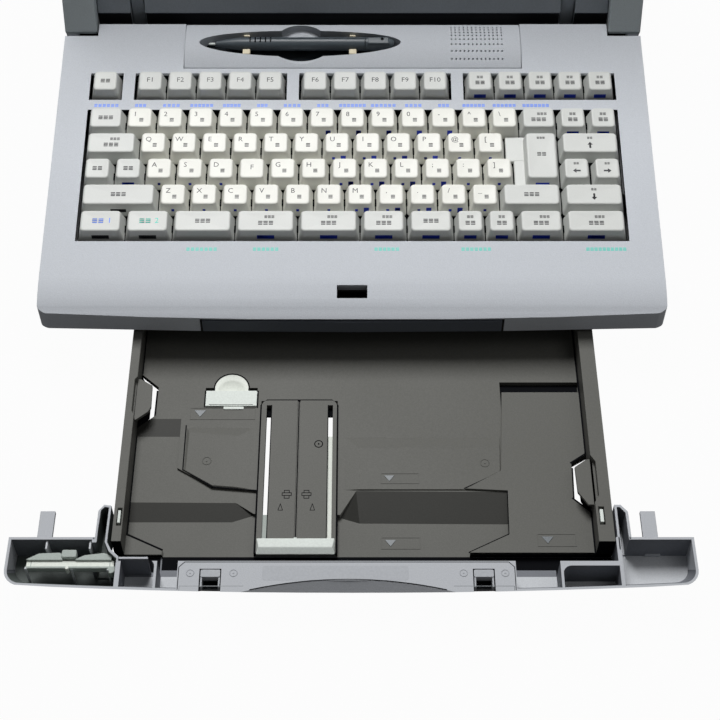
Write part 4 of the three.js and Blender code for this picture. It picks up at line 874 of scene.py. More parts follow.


# round marks, framed marks, dark lines of painted shade along steps and gaps, and painted shade in the
# finger openings
marks = {
    "rings": [(-83.7, -196.0, tray["leftPlateau"]), (76.6, -197.6, tray["plateau"])],
    "frames": [(16.5, 38.5, -211.5, -204.5, tray["plateau"]), (16.5, 38.5, -251.5, -244.0, tray["lowFront"]),
               (103.5, 125.0, -252.5, -244.5, tray["rightPlate"]),
               (-95.5, -57.0, -167.0, -158.6, tray["floor"])],
    # each line: its height, its width and its points
    "lines": [(tray["plateau"], 0.7, [(88.4, -148.4), (88.4, -202.0), (64.2, -214.6)]),
              (tray["rightPlate"] - 0.3, 0.7, [(88.6, -216.6), (88.0, -244.4), (65.2, -256.0)]),
              (tray["corner"], 1.1, [(-126.0, -243.3), (-105.4, -253.3)]),
              (tray["rightPlate"], 1.0, [(135.0, -140.0), (135.0, -191.5), (126.0, -197.8)]),
              (tray["rightPlate"], 1.0, [(125.2, -221.4), (135.0, -230.4), (135.0, -256.2)]),
              (tray["floor"], 1.2, [(135.0, 80.0), (135.0, -140.0)]),
              (tray["floor"], 0.9, [(-125.8, 80.0), (-125.8, -134.0)]),
              (tray["lowLeft"], 0.9, [(-125.8, -172.6), (-125.8, -256.0)]),
              (tray["floor"] + 0.1, 0.7, [(-97.2, -171.2), (-97.2, -201.6), (-79.6, -213.2),
                                          (-54.5, -215.5)]),
              (bottom + 0.4, 2.2, [(126.7, -199.0), (125.9, -221.0), (132.0, -228.6)]),
              (bottom + 0.4, 2.0, [(-116.0, -144.6), (-116.2, -163.4), (-121.0, -168.6)])],
    "openingShades": [[(136.0, -192.5), (129.6, -199.0), (130.4, -221.0), (136.0, -230.6)],
               [(-126.0, -134.6), (-119.6, -146.0), (-119.6, -164.0), (-126.0, -172.0)]]}
details = [mark for place in marks["rings"] for mark in ringMark(*place)]
details += [mark for place in marks["frames"] for mark in frameMark(*place)]
for height, width, points in marks["lines"]:
    details += shadeAndInkLine(points, height, width)
details += darken(slab("liner", points, bottom + 0.1, bottom + 0.6) for points in marks["openingShades"])
slotShade = plate("slotShade", 88.4, 134.6, -148.0, -140.4, bottom + 0.2, bottom + 0.9)
details += darken([bevelEdges(slotShade, 0.0002, 1)])
trayPiece = joinPieces("paperTray", traySolids + details)
# painted shade: the smooth slopes of the floor are darker, and the tray's front edge is near-black as the
# shade of the gap in front of it
slopeShadeBands = [(-126.4, -55.2, -234.5, -214.6), (-6.8, 88.8, -235.4, -215.5),
              (-126.4, -100.3, -178.3, -166.2)]
slopeShadeSlot = len(trayPiece.data.materials)
frontEdgeShadeSlot = slopeShadeSlot + 1
for name in ("slopeShade", "darkPlasticAndShade"):
    trayPiece.data.materials.append(finish[name])
trayFront = min(vertex.co.y for vertex in trayPiece.data.vertices)
for face in trayPiece.data.polygons:
    x, y = face.center.x * 1000, (face.center.y - rowShift) * 1000
    if face.normal.y < -0.7 and face.center.y < trayFront + 0.004:
        face.material_index = frontEdgeShadeSlot
    tilted = 0.004 < 1 - face.normal.z < 0.2 and face.normal.y < -0.05
    if tilted and any(x0 < x < x1 and y0 < y < y1 for x0, x1, y0, y1 in slopeShadeBands):
        face.material_index = slopeShadeSlot
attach(trayPiece, "cassette")
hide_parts("cassette_tray")
print("tray done")


# deck details: painted shade in the wells and trough, printed bars, painted shadow in the recess, and the
# scoop
deckInverse = deckMatrix.inverted()


def slotFor(piece, name):
    # the slot of a finish in a part, added where it isn't there yet
    slots = list(piece.data.materials)
    if finish[name] not in slots:
        piece.data.materials.append(finish[name])
        slots.append(finish[name])
    return slots.index(finish[name])


deckShell = bpy.data.objects["deckShell"]
shadeSlot = slotFor(deckShell, "darkPlasticAndShade")
# painted shade on the deck: the well of the keys, the slot of the latch, and the trough of the lid, whose
# dark floor is partly its own colour
shadeAreas = {"fieldHalf": 0.1681, "fieldFront": -0.0678, "fieldBack": 0.0579, "fieldTop": -0.0006,
         "troughHalf": 0.1668, "troughFront": 0.1038, "troughTop": 0.0775,
         "latchHalf": 0.0095, "latchFront": -0.0985, "latchBack": -0.0885}
for face in deckShell.data.polygons:
    spot, place = deckInverse @ face.center, face.center
    inField = (abs(spot.x) < shadeAreas["fieldHalf"] and shadeAreas["fieldFront"] < spot.y < shadeAreas["fieldBack"]
               and spot.z < shadeAreas["fieldTop"])
    inTrough = (abs(place.x) < shadeAreas["troughHalf"] and place.y > shadeAreas["troughFront"]
                and place.z < shadeAreas["troughTop"])
    inLatch = (abs(place.x) < shadeAreas["latchHalf"] and shadeAreas["latchFront"] < place.y < shadeAreas["latchBack"]
               and face.normal.z < 0.5 and face.normal.y > -0.5)
    if inField or inTrough or inLatch:
        face.material_index = shadeSlot

# printed bars behind and in front of the keys: where each one starts and ends
printed = {"stroke": 0.00255,
           "sky": (0.0328, [(-0.1640, -0.1481), (-0.1381, -0.1306), (-0.1205, -0.1092),
                            (-0.1031, -0.0881), (-0.0823, -0.0708), (-0.0607, -0.0537),
                            (-0.0440, -0.0326), (-0.0227, -0.0150), (-0.0087, 0.0086), (0.0113, 0.0276),
                            (0.0329, 0.0440), (0.0540, 0.0613), (0.0694, 0.0840), (0.0885, 0.1036),
                            (0.1074, 0.1246)]),
           "aqua": (-0.0733, [(-0.1003, -0.0812), (-0.0602, -0.0442), (0.0131, 0.0285),
                              (0.0655, 0.0840), (0.1408, 0.1654)])}
barMarks = []
for name, ink in (("sky", "inkSky"), ("aqua", "inkAqua")):
    across, spans = printed[name]
    for left, right in spans:
        count = max(2, round((right - left) / printed["stroke"]))
        for index in range(count):
            x = left + (index + 0.5) * (right - left) / count
            place = deckMatrix @ Matrix.Translation((x, across, 0.00001))
            barMarks.append(dress(copyPiece(strokes, "deckMark", place), ink))
deckMarks = joinPieces("deckMarks", barMarks)
removePiece(strokes)
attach(deckMarks, "base")

# crowned strip: stylus recess with its finger scoops, and the speaker holes
strip = {"half": 0.1083, "front": 0.0623, "back": 0.0973, "crown": 0.004, "under": -0.0117, "steps": 18,
         "middle": -0.034, "across": 0.080, "recessHalf": 0.065, "recessEnd": 0.0105, "floor": -0.0043,
         "over": 0.02, "scoopX": -0.0335, "scoop": 0.0163, "ball": 0.0253, "ballUp": 0.020}
deselectAll()
bpy.ops.mesh.primitive_circle_add(vertices=strip["steps"] + 3, radius=0.01, fill_type='NGON')
stripPiece = bpy.context.object
stripPiece.name = "penStrip"
deep = strip["back"] - strip["front"]
shares = [step / strip["steps"] for step in range(strip["steps"] + 1)]
profile = [(strip["front"] + share * deep, 4 * strip["crown"] * share * (1 - share)) for share in shares]
profile += [(strip["back"], strip["under"]), (strip["front"], strip["under"])]
for point, (y, z) in zip(stripPiece.data.vertices, profile):
    point.co = (-strip["half"], y, z)
startEdit(stripPiece)
bpy.ops.mesh.select_all(action='SELECT')
bpy.ops.mesh.extrude_region_move(TRANSFORM_OT_translate={"value": (2 * strip["half"], 0, 0)})
faceOutward()
endEdit()
bevelEdges(stripPiece, 0.0005, 2, 40)
dress(stripPiece, "deckGrey")


def cutterAt(radius, middle, across, low, high, wide=1.0, segments=48):
    deselectAll()
    bpy.ops.mesh.primitive_cylinder_add(vertices=segments, radius=radius, depth=high - low,
                                        location=(middle, across, (low + high) / 2))
    bpy.context.object.scale = (wide, 1, 1)
    return latest("cutter")


recessTool = cutterAt(strip["recessEnd"], strip["middle"], strip["across"], strip["floor"], strip["over"],
                      strip["recessHalf"] / strip["recessEnd"], 96)
upperTool = cutterAt(strip["scoop"], strip["scoopX"], strip["across"], strip["floor"], strip["over"])
upperKeep = boxPiece("keep", (-0.06, strip["across"], -0.01), (0, 0.11, 0.03))
cutWith(upperTool, [upperKeep], 'INTERSECT')
# the recess and the upper scoop are cut with near-black tools: painted shadow
for tool in (recessTool, upperTool):
    dress(tool, "recessShadow")
deselectAll()
bpy.ops.mesh.primitive_uv_sphere_add(segments=64, ring_count=40, radius=strip["ball"],
                                     location=(strip["scoopX"], strip["across"] + 0.0012, strip["ballUp"]))
ballTool = latest("ballTool")
ballKeep = boxPiece("keep", (-0.08, 0.03, -0.03), (0.02, strip["across"] - 0.001, 0.06))
cutWith(ballTool, [ballKeep], 'INTERSECT')
dress(ballTool, "deckGrey")
holes = {"rows": [0.09360, 0.09127, 0.08852, 0.08571, 0.08249, 0.07837, 0.07329, 0.06794],
         "left": 0.0638, "right": 0.0962, "count": 13, "radius": 0.00062, "deep": -0.0025, "over": 0.01}
pitch = (holes["right"] - holes["left"]) / (holes["count"] - 1)
firstHole = cutterAt(holes["radius"], holes["left"], holes["rows"][0], holes["deep"], holes["over"], 1, 10)
# the hole cutter is dressed dark, as painted shade in the speaker holes
darken([firstHole])
shifts = [(column * pitch, y - holes["rows"][0]) for y in holes["rows"] for column in range(holes["count"])]
moreHoles = [copyPiece(firstHole, "cutter", Matrix.Translation((x, y, 0))) for x, y in shifts[1:]]
holeTool = joinPieces("holeTool", [firstHole] + moreHoles)
cutWith(stripPiece, [ballTool, recessTool, upperTool, holeTool])
recessShadowSlot = slotFor(stripPiece, "recessShadow")
for face in stripPiece.data.polygons:
    # inside the recess's oval and below the crown: painted shadow in the recess
    along = (face.center.x - strip["middle"]) / strip["recessHalf"]
    across = (face.center.y - strip["across"]) / strip["recessEnd"]
    if along * along + across * across < 0.99 and face.center.z < -0.0015:
        face.material_index = recessShadowSlot
stripPiece.data.transform(deckMatrix)
smooth(stripPiece, 24)
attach(stripPiece, "base")
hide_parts("pen_strip")

# the latch slot's floor, painted dark as shade, and its pale back wall
latchSlot = [("latchFloor", (-0.012, -0.104, 0.0330), (0.012, -0.084, 0.0336), "darkPlasticAndShade"),
             ("latchWall", (-0.0090, -0.0894, 0.0424), (0.0090, -0.0886, 0.0454), "panelGrey")]
latchTrim = joinPieces("latchTrim", [dress(boxPiece(name, low, high), look)
                                     for name, low, high, look in latchSlot])
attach(latchTrim, "base")
print("deck details done")


# stylus: tapered nose with a pale tip, grip ridges, seam, cap and two holding clips
def lathe(name, stations, segments=28):
    # along X: a filled circle drawn out from station to station
    deselectAll()
    start, radius = stations[0]
    bpy.ops.mesh.primitive_circle_add(vertices=segments, radius=radius, fill_type='NGON',
                                      location=(start, 0, 0), rotation=(0, math.radians(90), 0))
    piece = latest(name)
    startEdit(piece)
    bpy.ops.mesh.select_all(action='SELECT')
    for (before, fromRadius), (after, toRadius) in zip(stations, stations[1:]):
        bpy.ops.mesh.extrude_region_move(TRANSFORM_OT_translate={"value": (after - before, 0, 0)})
        share = toRadius / fromRadius
        bpy.ops.transform.resize(value=(1, share, share))
    faceOutward()
    endEdit()
    return smooth(piece, 40)


penPlan = {"across": 0.080, "up": 0.0020, "tip": [(-0.093, 0.0003), (-0.0926, 0.0007), (-0.0885, 0.0009)],
           "body": [(-0.0888, 0.0012), (-0.0885, 0.0017), (-0.082, 0.0029), (-0.074, 0.0040),
                    (-0.066, 0.0042), (-0.055, 0.0043), (0.0078, 0.0043), (0.0079, 0.0040)],
           "cap": [(0.0082, 0.0040), (0.0083, 0.0043), (0.015, 0.0043), (0.0205, 0.0040), (0.0246, 0.0034),
                   (0.0265, 0.0022), (0.0269, 0.0008)],
           "grips": (-0.0665, 5, 0.0033), "grip": 0.0008}
penParts = [dress(lathe("penTip", penPlan["tip"], 14), "paleMould"),
            dress(lathe("penBody", penPlan["body"]), "slateDark"),
            dress(lathe("penCap", penPlan["cap"]), "slateDark")]
start, count, pitch = penPlan["grips"]
for index in range(count):
    left = start + index * pitch
    grip = boxPiece("gripRidge", (left, -0.0016, 0.0038), (left + penPlan["grip"], 0.0022, 0.0046))
    penParts.append(moulded(grip, 0.0003, 2, "darkPlasticAndShade"))
seam = boxPiece("penSeam", (-0.062, 0.0011, 0.0040), (0.0075, 0.0013, 0.0043))
penParts += darken([bevelEdges(seam, 0.00004, 1)])
clipPlate = boxPiece("capFlat", (0.0095, -0.0030, 0.0026), (0.0235, 0.0024, 0.0044))
penParts.append(moulded(clipPlate, 0.0009, 3, "slateDark"))
# the hole in the cap is a dark disc: painted shade
capHole = barPiece("capHole", 'z', 1.0, 4.2, 4.68, 19.0, 0.6 - rowShift * 1000, 14)
penParts += darken([capHole])
pen = joinPieces("stylus", penParts)
pen.data.transform(deckMatrix @ Matrix.Translation((0, penPlan["across"], penPlan["up"])))
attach(pen, "pen")
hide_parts("pen")
# each clip: its middle; each of its parts: half width, front and back, low and high
clipPlan = {"Left": -0.0685, "Right": 0.0}
clipParts = [(0.0024, 0.0714, 0.0753, -0.0039, 0.0030), (0.002, 0.0850, 0.0863, -0.0039, 0.0036),
             (0.002, 0.0722, 0.0861, -0.0040, -0.0036)]
for side, x in clipPlan.items():
    prongs = [boxPiece("prong", (x - half, near, low), (x + half, far, high))
              for half, near, far, low, high in clipParts]
    holder = joinPieces("penHolder" + side, [bevelEdges(part, 0.0004, 2) for part in prongs])
    holder.data.transform(deckMatrix)
    dress(smooth(holder), "creamMetal")
    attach(holder, "base")
    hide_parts("pen_clip_" + side.lower())
print("stylus done")


# cassette front: a leaning bowed face, thin walls, pockets, arms and tongues (plan millimetres)
front = {"half": 187.5, "back": -253.9, "front": -283.0, "bow": 5.0, "corner": 9.0, "rim": 24.0, "foot": 3.6,
         "floor": 5.6, "lean": 11.0, "wall": 1.5, "blockLeft": -93.9, "blockRight": 89.0,
         "blockBack": -268.6, "armBack": -233.2}


def frontEdge(x, inset, height):
    # Y of the front face at a height, with its bow, lean and rounded ends
    half = front["half"] - inset
    radius = front["corner"] - inset
    y = front["front"] + inset - front["bow"] * (1 - (x / front["half"]) ** 2)
    y += front["lean"] * (front["rim"] - height) / (front["rim"] - front["foot"])
    over = abs(x) - (half - radius)
    return y + radius - math.sqrt(max(0, radius * radius - over * over)) if over > 0 else y


def panelPlan(x0, x1, back, inset, height, stops=14):
    places = [x1 + (x0 - x1) * step / stops for step in range(stops + 1)]
    reach, radius = front["half"] - inset, front["corner"] - inset
    for turn in (15, 30, 45, 60, 75):
        corner = reach - radius + radius * math.sin(math.radians(turn))
        places += [x for x in (corner, -corner) if x0 < x < x1]
    places.sort(reverse=True)
    return [(x0, back), (x1, back)] + [(x, frontEdge(x, inset, height)) for x in places]


def panelPocket(x0, x1, back, low):
    # a hollow that keeps the wall behind the leaning front face
    top, wall = front["rim"] + 1, front["wall"]
    return prism("pocket", panelPlan(x0, x1, back, wall, low), low, panelPlan(x0, x1, back, wall, top), top)


def fillet(points, corner, radius, steps=5):
    # rounds one corner of an outline with a short arc of points
    before, here, after = [Vector(points[(corner + shift) % len(points)]) for shift in (-1, 0, 1)]
    first, last = (before - here).normalized(), (after - here).normalized()
    reach = radius / math.tan(first.angle(last) / 2)
    middle = here + (first + last).normalized() * (radius / math.sin(first.angle(last) / 2))
    start, end = here + first * reach - middle, here + last * reach - middle
    arc = []
    for step in range(steps + 1):
        share = step / steps
        spoke = (start * (1 - share) + end * share).normalized() * radius
        arc.append(tuple(middle + spoke))
    return points[:corner] + arc + points[corner + 1:]


footPlan, rimPlan = [panelPlan(-front["half"], front["half"], front["back"], 0, front[edge])
                     for edge in ("foot", "rim")]
panelBody = prism("drawerFront", footPlan, front["foot"], rimPlan, front["rim"])
# the arms at both ends, and the channels that run in them
leftChannel = [(-139.2, -250), (-138.8, -237.0), (-136.8, -234.7), (-134.6, -235.2), (-134.9, -256.8),
               (-132.4, -262.4), (-127.6, -267.0), (-127.6, -290), (-139.2, -290)]
leftArm = [(-140.4, -252), (-140.2, -237.0), (-137.4, front["armBack"]), (-133.2, front["armBack"] - 0.6),
           (-133.5, -256.8), (-131.2, -261.2), (-126.4, -265.7), (-126.4, -270), (-140.4, -270)]
rightChannel = [(147.2, -252), (147.2, -234.8), (148.8, -235.0), (151.6, -238.6), (151.9, -258),
                (151.9, -264), (147.2, -264)]
rightArm = [(145.7, -262), (145.7, front["armBack"]), (149.4, front["armBack"]), (153.1, -237.6),
            (153.4, -255.4), (150, -255.6), (150, -262)]
smallLeft = fillet([(-125.0, -267.4), (-106.6, -267.4), (-106.6, -292), (-125.0, -292)], 1, 4.5)
smallRight = fillet([(114.6, -271.4), (145.2, -271.4), (145.2, -292), (114.6, -292)], 0, 4.5)


def trimmed(points):
    # an outline cut to the inside of the leaning front face
    low, half = front["floor"], front["half"] - front["wall"]
    keep = panelPocket(-half, half, -200, low - 0.5)
    return cutWith(slab("trim", points, low, front["rim"] + 0.9), [keep], 'INTERSECT')


low, rim = front["floor"], front["rim"]
panelBody = cutWith(panelBody, [
    panelPocket(-front["half"] + front["wall"], -141.8, front["back"] - front["wall"], low),
    panelPocket(-141.9, -127.6, -269, low),
    plate("behind", -140.3, -126.4, -269.5, -250, low, above),
    plate("behind", -142.0, -140.2, -269.5, -257.2, 14, above),
    plate("behind", 147.2, 151.9, -260, -250, low, above),
    trimmed(smallLeft),
    panelPocket(-105.2, front["blockLeft"], -250, low),
    plate("bay", -126.5, 144.8, front["blockBack"], -250, low, above),
    panelPocket(front["blockRight"], 113.2, -250, low),
    plate("bayLeft", -126.5, -105.2, -266.0, -250, low, above),
    trimmed(smallRight),
    panelPocket(147.2, front["half"] - front["wall"], front["back"] - front["wall"], low),
])
channels = [cutWith(slab("arm", arm, low - 0.5, rim), [slab("channel", channel, low + 1, above)])
            for arm, channel in ((leftArm, leftChannel), (rightArm, rightChannel))]
cutWith(channels[0], [plate("armCut", -142.5, -139.0, -271, -257.2, 14, above)])
channels.append(slab("smallBack", [(-126.4, -267.4), (-126.4, -266.0), (-110.4, -266.0), (-110.4, -267.4)],
                     low, rim))
channels.append(plate("armRoot", -141.8, -140.2, -255.4, front["back"], low, rim))

# finger scoop that runs out at the front edge, and the two slots for the snaps
scoop = {"half": 59.6, "deep": 8.0, "middle": -1.6, "beyond": 6, "steps": 20, "side": 80, "out": 40,
         "low": 4, "high": 25, "snaps": (-76.0, 71.5), "snapHalf": 5.9, "snapBack": -273.4, "snapLow": 12}
scoopRadius = (scoop["half"] ** 2 + scoop["deep"] ** 2) / (2 * scoop["deep"])


def scoopPlan(height):
    middle, side = scoop["middle"], scoop["side"]
    inner = front["front"] - front["bow"] + scoop["deep"] - (rim - height)
    spread = math.asin(min(1, (scoop["half"] + scoop["beyond"]) / scoopRadius))
    points = []
    for step in range(scoop["steps"] + 1):
        angle = math.radians(90) + spread * (1 - 2 * step / scoop["steps"])
        points.append((middle + scoopRadius * math.cos(angle), inner + scoopRadius * (math.sin(angle) - 1)))
    return points + [(middle + side, inner - scoop["out"]), (middle - side, inner - scoop["out"])]


low, high, half = scoop["low"], scoop["high"], scoop["snapHalf"]
frontTools = [prism("scoop", scoopPlan(low), low, scoopPlan(high), high)]
frontTools += [plate("snapSlot", x - half, x + half, -300, scoop["snapBack"], scoop["snapLow"], above)
               for x in scoop["snaps"]]
panelBody = cutWith(panelBody, frontTools)

# tongues behind the panel and the small ribs in its left pocket
ribs = {"width": 1.2, "top": 22.5, "back": (-167.3, -143.5), "front": (-177.1, -152.1, -132.5),
        "tongues": ((-176.0, -167.5), (163.0, 171.5)), "tongueTop": 8.0}
panelParts = [panelBody] + channels
low = front["floor"]
for left, right in ribs["tongues"]:
    panelParts.append(plate("tongue", left, right, -256, -228, low, ribs["tongueTop"]))
for x in ribs["back"]:
    panelParts.append(plate("backRib", x, x + ribs["width"], -260.4, -254.6, low - 1, ribs["top"]))
for x in ribs["front"]:
    edge = frontEdge(x, 1, front["foot"])
    panelParts.append(plate("frontRib", x, x + ribs["width"], edge, -272.9, low - 1, ribs["top"]))


def pocketShading(kind, face):
    # the pockets are painted for light and shade: walls and bays in painted shade, the left pocket and its
    # arm darker as painted shadow, the floors and ribs paler as painted light
    x, y, z = face.center.x * 1000, (face.center.y - rowShift) * 1000, face.center.z * 1000
    inBay = 4.6 < z < 7 and -268.5 < y < -256 and x < 145
    onFloor = 4.6 < z < 7.4 and face.normal.z > 0.8 and (x > 89 or -127 < x < -93)
    if kind == "tongue":
        return "panelGrey"
    if kind in ("frontRib", "backRib"):
        return "pocketLit"
    if -185.6 < x < -127 and -283 < y < -234 and z < 23.4 and face.normal.y > -0.99:
        return "pocketShadow"
    if onFloor and not inBay:
        return "pocketLit"
    if inBay or (4.4 < z < 23.4 and face.normal.z < 0.5 and abs(x) < 186 and y > -282):
        return "panelShade"
    return "panelGrey"


panelLooks = ("panelGrey", "panelShade", "pocketShadow", "pocketLit")
for part in panelParts:
    dress(smooth(bevelEdges(part, 0.0004, 2, 28), 30), "panelGrey")
    slots = {name: slotFor(part, name) for name in panelLooks}
    for face in part.data.polygons:
        face.material_index = slots[pocketShading(part.name.split(".")[0], face)]

# seam of the separate middle piece, two pairs of round moulding marks, the blank label, dark lines of
# painted shade along the block's edge and the scoop's edge, and strips of painted shade in the gaps
trim = {"seams": [(-92.4, -58.0, -284.0, -283.7), (55.0, 87.6, -284.0, -283.7),
                  (-92.4, -92.1, -286.5, -284.0), (87.3, 87.6, -286.5, -284.0)],
        "edge": [(-93.2, -285.8), (-93.2, -272.4), (-90.2, -269.3), (85.3, -269.3), (88.3, -272.4),
                 (88.3, -286.2)],
        "rings": (-86.9, -63.5, 60.6, 83.0), "ringY": -276.0, "ringSize": 2.0,
        "gaps": [(-126.2, -106.0, -265.8), (-105.1, 113.1, -264.5), (113.1, 144.6, -268.4)]}
for place in trim["seams"]:
    panelParts.append(dress(plate("seam", *place, rim - 0.2, rim + 0.03), "slateDark"))
for x in trim["rings"]:
    for part in ringMark(x, trim["ringY"], rim, trim["ringSize"]):
        panelParts.append(dress(part, "labelGrey"))
panelParts += shadeAndInkLine(trim["edge"], rim, 0.4)
scoopEdge = [point for point in scoopPlan(rim + 0.2)[:-2] if point[1] > frontEdge(point[0], 0, 24)]
panelParts += shadeAndInkLine(scoopEdge, rim, 0.5)
label = roundPlate("label", -48, 31, -280.4, -271.6, rim - 0.2, rim + 0.05, 1.5, 3)
panelParts.append(dress(label, "labelGrey"))
panelParts += darken(plate("gapStrip", left, right, across, -256.6, 5.4, 5.8)
                     for left, right, across in trim["gaps"])
drawerFront = joinPieces("drawerFront", panelParts)
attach(drawerFront, "cassette")
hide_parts("cassette_front")
print("cassette front done")


# rail plate with its two slots, the sliding paper stop and the flap for postcards
rail = {"left": -53.3, "right": -8.9, "back": -154.1, "front": -256.4, "top": 10.9, "bottom": 5.9,
        "round": 3.6, "slots": ((-50.3, -47.4, -231.0), (-14.1, -11.3, -178.4)), "slotBack": -157.6,
        "slotFront": -250.0, "whiteBack": -163.2, "looks": ("spareGrey", "spareLight"),
        "groove": (-32.1, -30.5), "gaps": ((-54.4, -53.2), (-9.1, -7.9))}
railPlan = [(rail["left"], rail["back"]), (rail["right"], rail["back"]), (rail["right"], rail["front"]),
            (rail["left"], rail["front"])]
railPlan = fillet(fillet(railPlan, 1, rail["round"]), 0, rail["round"])
railTools = [plate("groove", *rail["groove"], -260, -150, rail["top"] - 0.9, above)]
railParts = []
for left, right, end in rail["slots"]:
    railTools.append(plate("through", left, right, end, rail["whiteBack"], 0, above))
    railTools.append(plate("slotEnd", left, right, rail["whiteBack"] - 0.1, rail["slotBack"], 7.0, above))
    railTools.append(plate("slotRest", left, right, rail["slotFront"], end + 0.1, 8.4, above))
    # a dark plate at the end of each slot and a dark line along its edge: painted shade
    railParts += darken([plate("slotDark", left, right, rail["whiteBack"], rail["slotBack"], 6.9, 7.4)])
    edge = right if left < -40 else left
    railParts += shadeAndInkLine([(edge, rail["slotFront"] + 0.5), (edge, rail["slotBack"])], rail["top"], 0.5)
railBody = cutWith(slab("railPlate", railPlan, rail["bottom"], rail["top"]), railTools)
railParts.append(moulded(railBody, 0.0003, 2, "trayGrey"))
for (left, right, end), look in zip(rail["slots"], rail["looks"]):
    railParts.append(dress(plate("slotPale", left, right, rail["slotFront"], end, 8.3, 8.7), look))
# painted shade in the gap around the plate and a thin line of it in its groove, and one round mark
railParts += shadeAndInkLine([(-53.7, -256.2), (-53.7, -157.4), (-50.2, -153.7), (-12.0, -153.7), (-8.5, -157.4),
                         (-8.5, -256.2)], tray["floor"] + 0.9, 0.9)
railParts += darken(plate("gapFill", x0, x1, -256, -156, 6, 9.4) for x0, x1 in rail["gaps"])
railParts += shadeAndInkLine([(-31.3, -256.2), (-31.3, -154.2)], rail["top"] - 0.8, 0.6)
railParts += darken(ringMark(-19.3, -184.8, rail["top"], 2.3))
# small plain signs, drawn around their own middle: a pointer, and a bar with a box on each side
signs = {"pointer": (0.35, (-40.3, -22.2), [[(-1.3, -229.2), (0, -225.0), (1.3, -229.2), (-1.3, -229.2)]]),
         "bar": (0.4, (-36.9, -25.7),
                 [[(-2.6, -219.6), (-2.6, -217.8), (2.6, -217.8), (2.6, -219.6), (-2.6, -219.6)],
                  [(-1.4, -217.8), (-1.4, -216.2), (1.4, -216.2), (1.4, -217.8)],
                  [(-1.4, -219.6), (-1.4, -221.4), (1.4, -221.4), (1.4, -219.6)]])}
for width, middles, outlines in signs.values():
    for middle in middles:
        for outline in outlines:
            railParts += shadeAndInkLine([(middle + x, y) for x, y in outline], rail["top"], width)
railPiece = joinPieces("railPlate", railParts)
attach(railPiece, "cassette")
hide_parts("rail_plate")

# the sliding paper stop, with a nub in the groove and a peg in each slot
stopLow = [(-53.0, -248.6), (-9.2, -248.6), (-9.2, -257.8), (-53.0, -257.8)]
stopHigh = [(-52.8, -248.8), (-9.4, -248.8), (-10.8, -254.4), (-51.4, -254.4)]
stopParts = [prism("paperStop", stopLow, 11.3, stopHigh, 13.8),
             plate("stopNub", -32.2, -30.4, -249.0, -247.8, 11.6, 13.2),
             plate("stopPeg", -50.0, -47.7, -256.0, -252.0, 7.0, 12.0),
             plate("stopPeg", -13.8, -11.5, -256.0, -252.0, 7.0, 12.0)]
for part in stopParts:
    moulded(part, 0.0004, 2, "paleMould")
paperStop = joinPieces("paperStop", stopParts)
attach(paperStop, "paper_stop")
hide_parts("paper_stop")

# the flap for postcards
flapParts = [plate("flap", -86.8, -56.4, -158.0, -147.0, 7.4, 10.9),
             plate("flapTab", -76.0, -64.0, -160.0, -157.9, 8.0, 10.3)]
for part in flapParts:
    moulded(part, 0.0004, 2, "paleMould")
# a dark line of painted shade along the flap's front edge
flapParts += shadeAndInkLine([(-84.5, -157.2), (-58.6, -157.2)], 10.9, 0.3)
postcardStop = joinPieces("postcardStop", flapParts)
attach(postcardStop, "postcard_stop")
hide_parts("postcard_stop")

# shallow cup behind the flap, and spring clips in the flanges of the tray
cupPlan = {"x": -71.8, "y": -144.5, "radius": 10.3, "low": 5.9, "high": 9.5, "ball": 0.0165, "ballY": -146.4,
           "ballUp": 23.4, "rim": 10.4}
deselectAll()
bpy.ops.mesh.primitive_uv_sphere_add(segments=40, ring_count=20, radius=cupPlan["ball"],
                                     location=planPoint(cupPlan["x"], cupPlan["ballY"], cupPlan["ballUp"]))
cupBall = latest("cupBall")
cup = barPiece("cup", 'z', cupPlan["radius"], cupPlan["low"], cupPlan["high"], cupPlan["x"], cupPlan["y"],
               40)
trayExtras = [dress(smooth(cutWith(cup, [cupBall]), 40), "spareLight")]
turns = [math.radians(turn) for turn in range(-8, 189, 14)]
arc = [(cupPlan["x"] + cupPlan["rim"] * math.cos(turn), cupPlan["y"] + cupPlan["rim"] * math.sin(turn))
       for turn in turns]
# dark lines of painted shade along the cup's rim and around the flap
trayExtras += shadeAndInkLine(arc, tray["floor"], 0.8)
trayExtras += shadeAndInkLine([(-87.4, -158.6), (-87.4, -146.6), (-82.4, -146.6)], tray["floor"], 0.6)
trayExtras += shadeAndInkLine([(-61.2, -146.6), (-55.9, -146.6), (-55.9, -158.6)], tray["floor"], 0.7)
for place in ((-129.2, -127.6, -245.0, -237.0), (137.4, 139.4, -244.4, -236.2)):
    trayExtras.append(moulded(plate("flangeClip", *place, 18, 24.3), 0.0004, 2, "paleMould"))
trayTrim = joinPieces("trayTrim", trayExtras)
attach(trayTrim, "cassette")
print("rail plate and stops done")


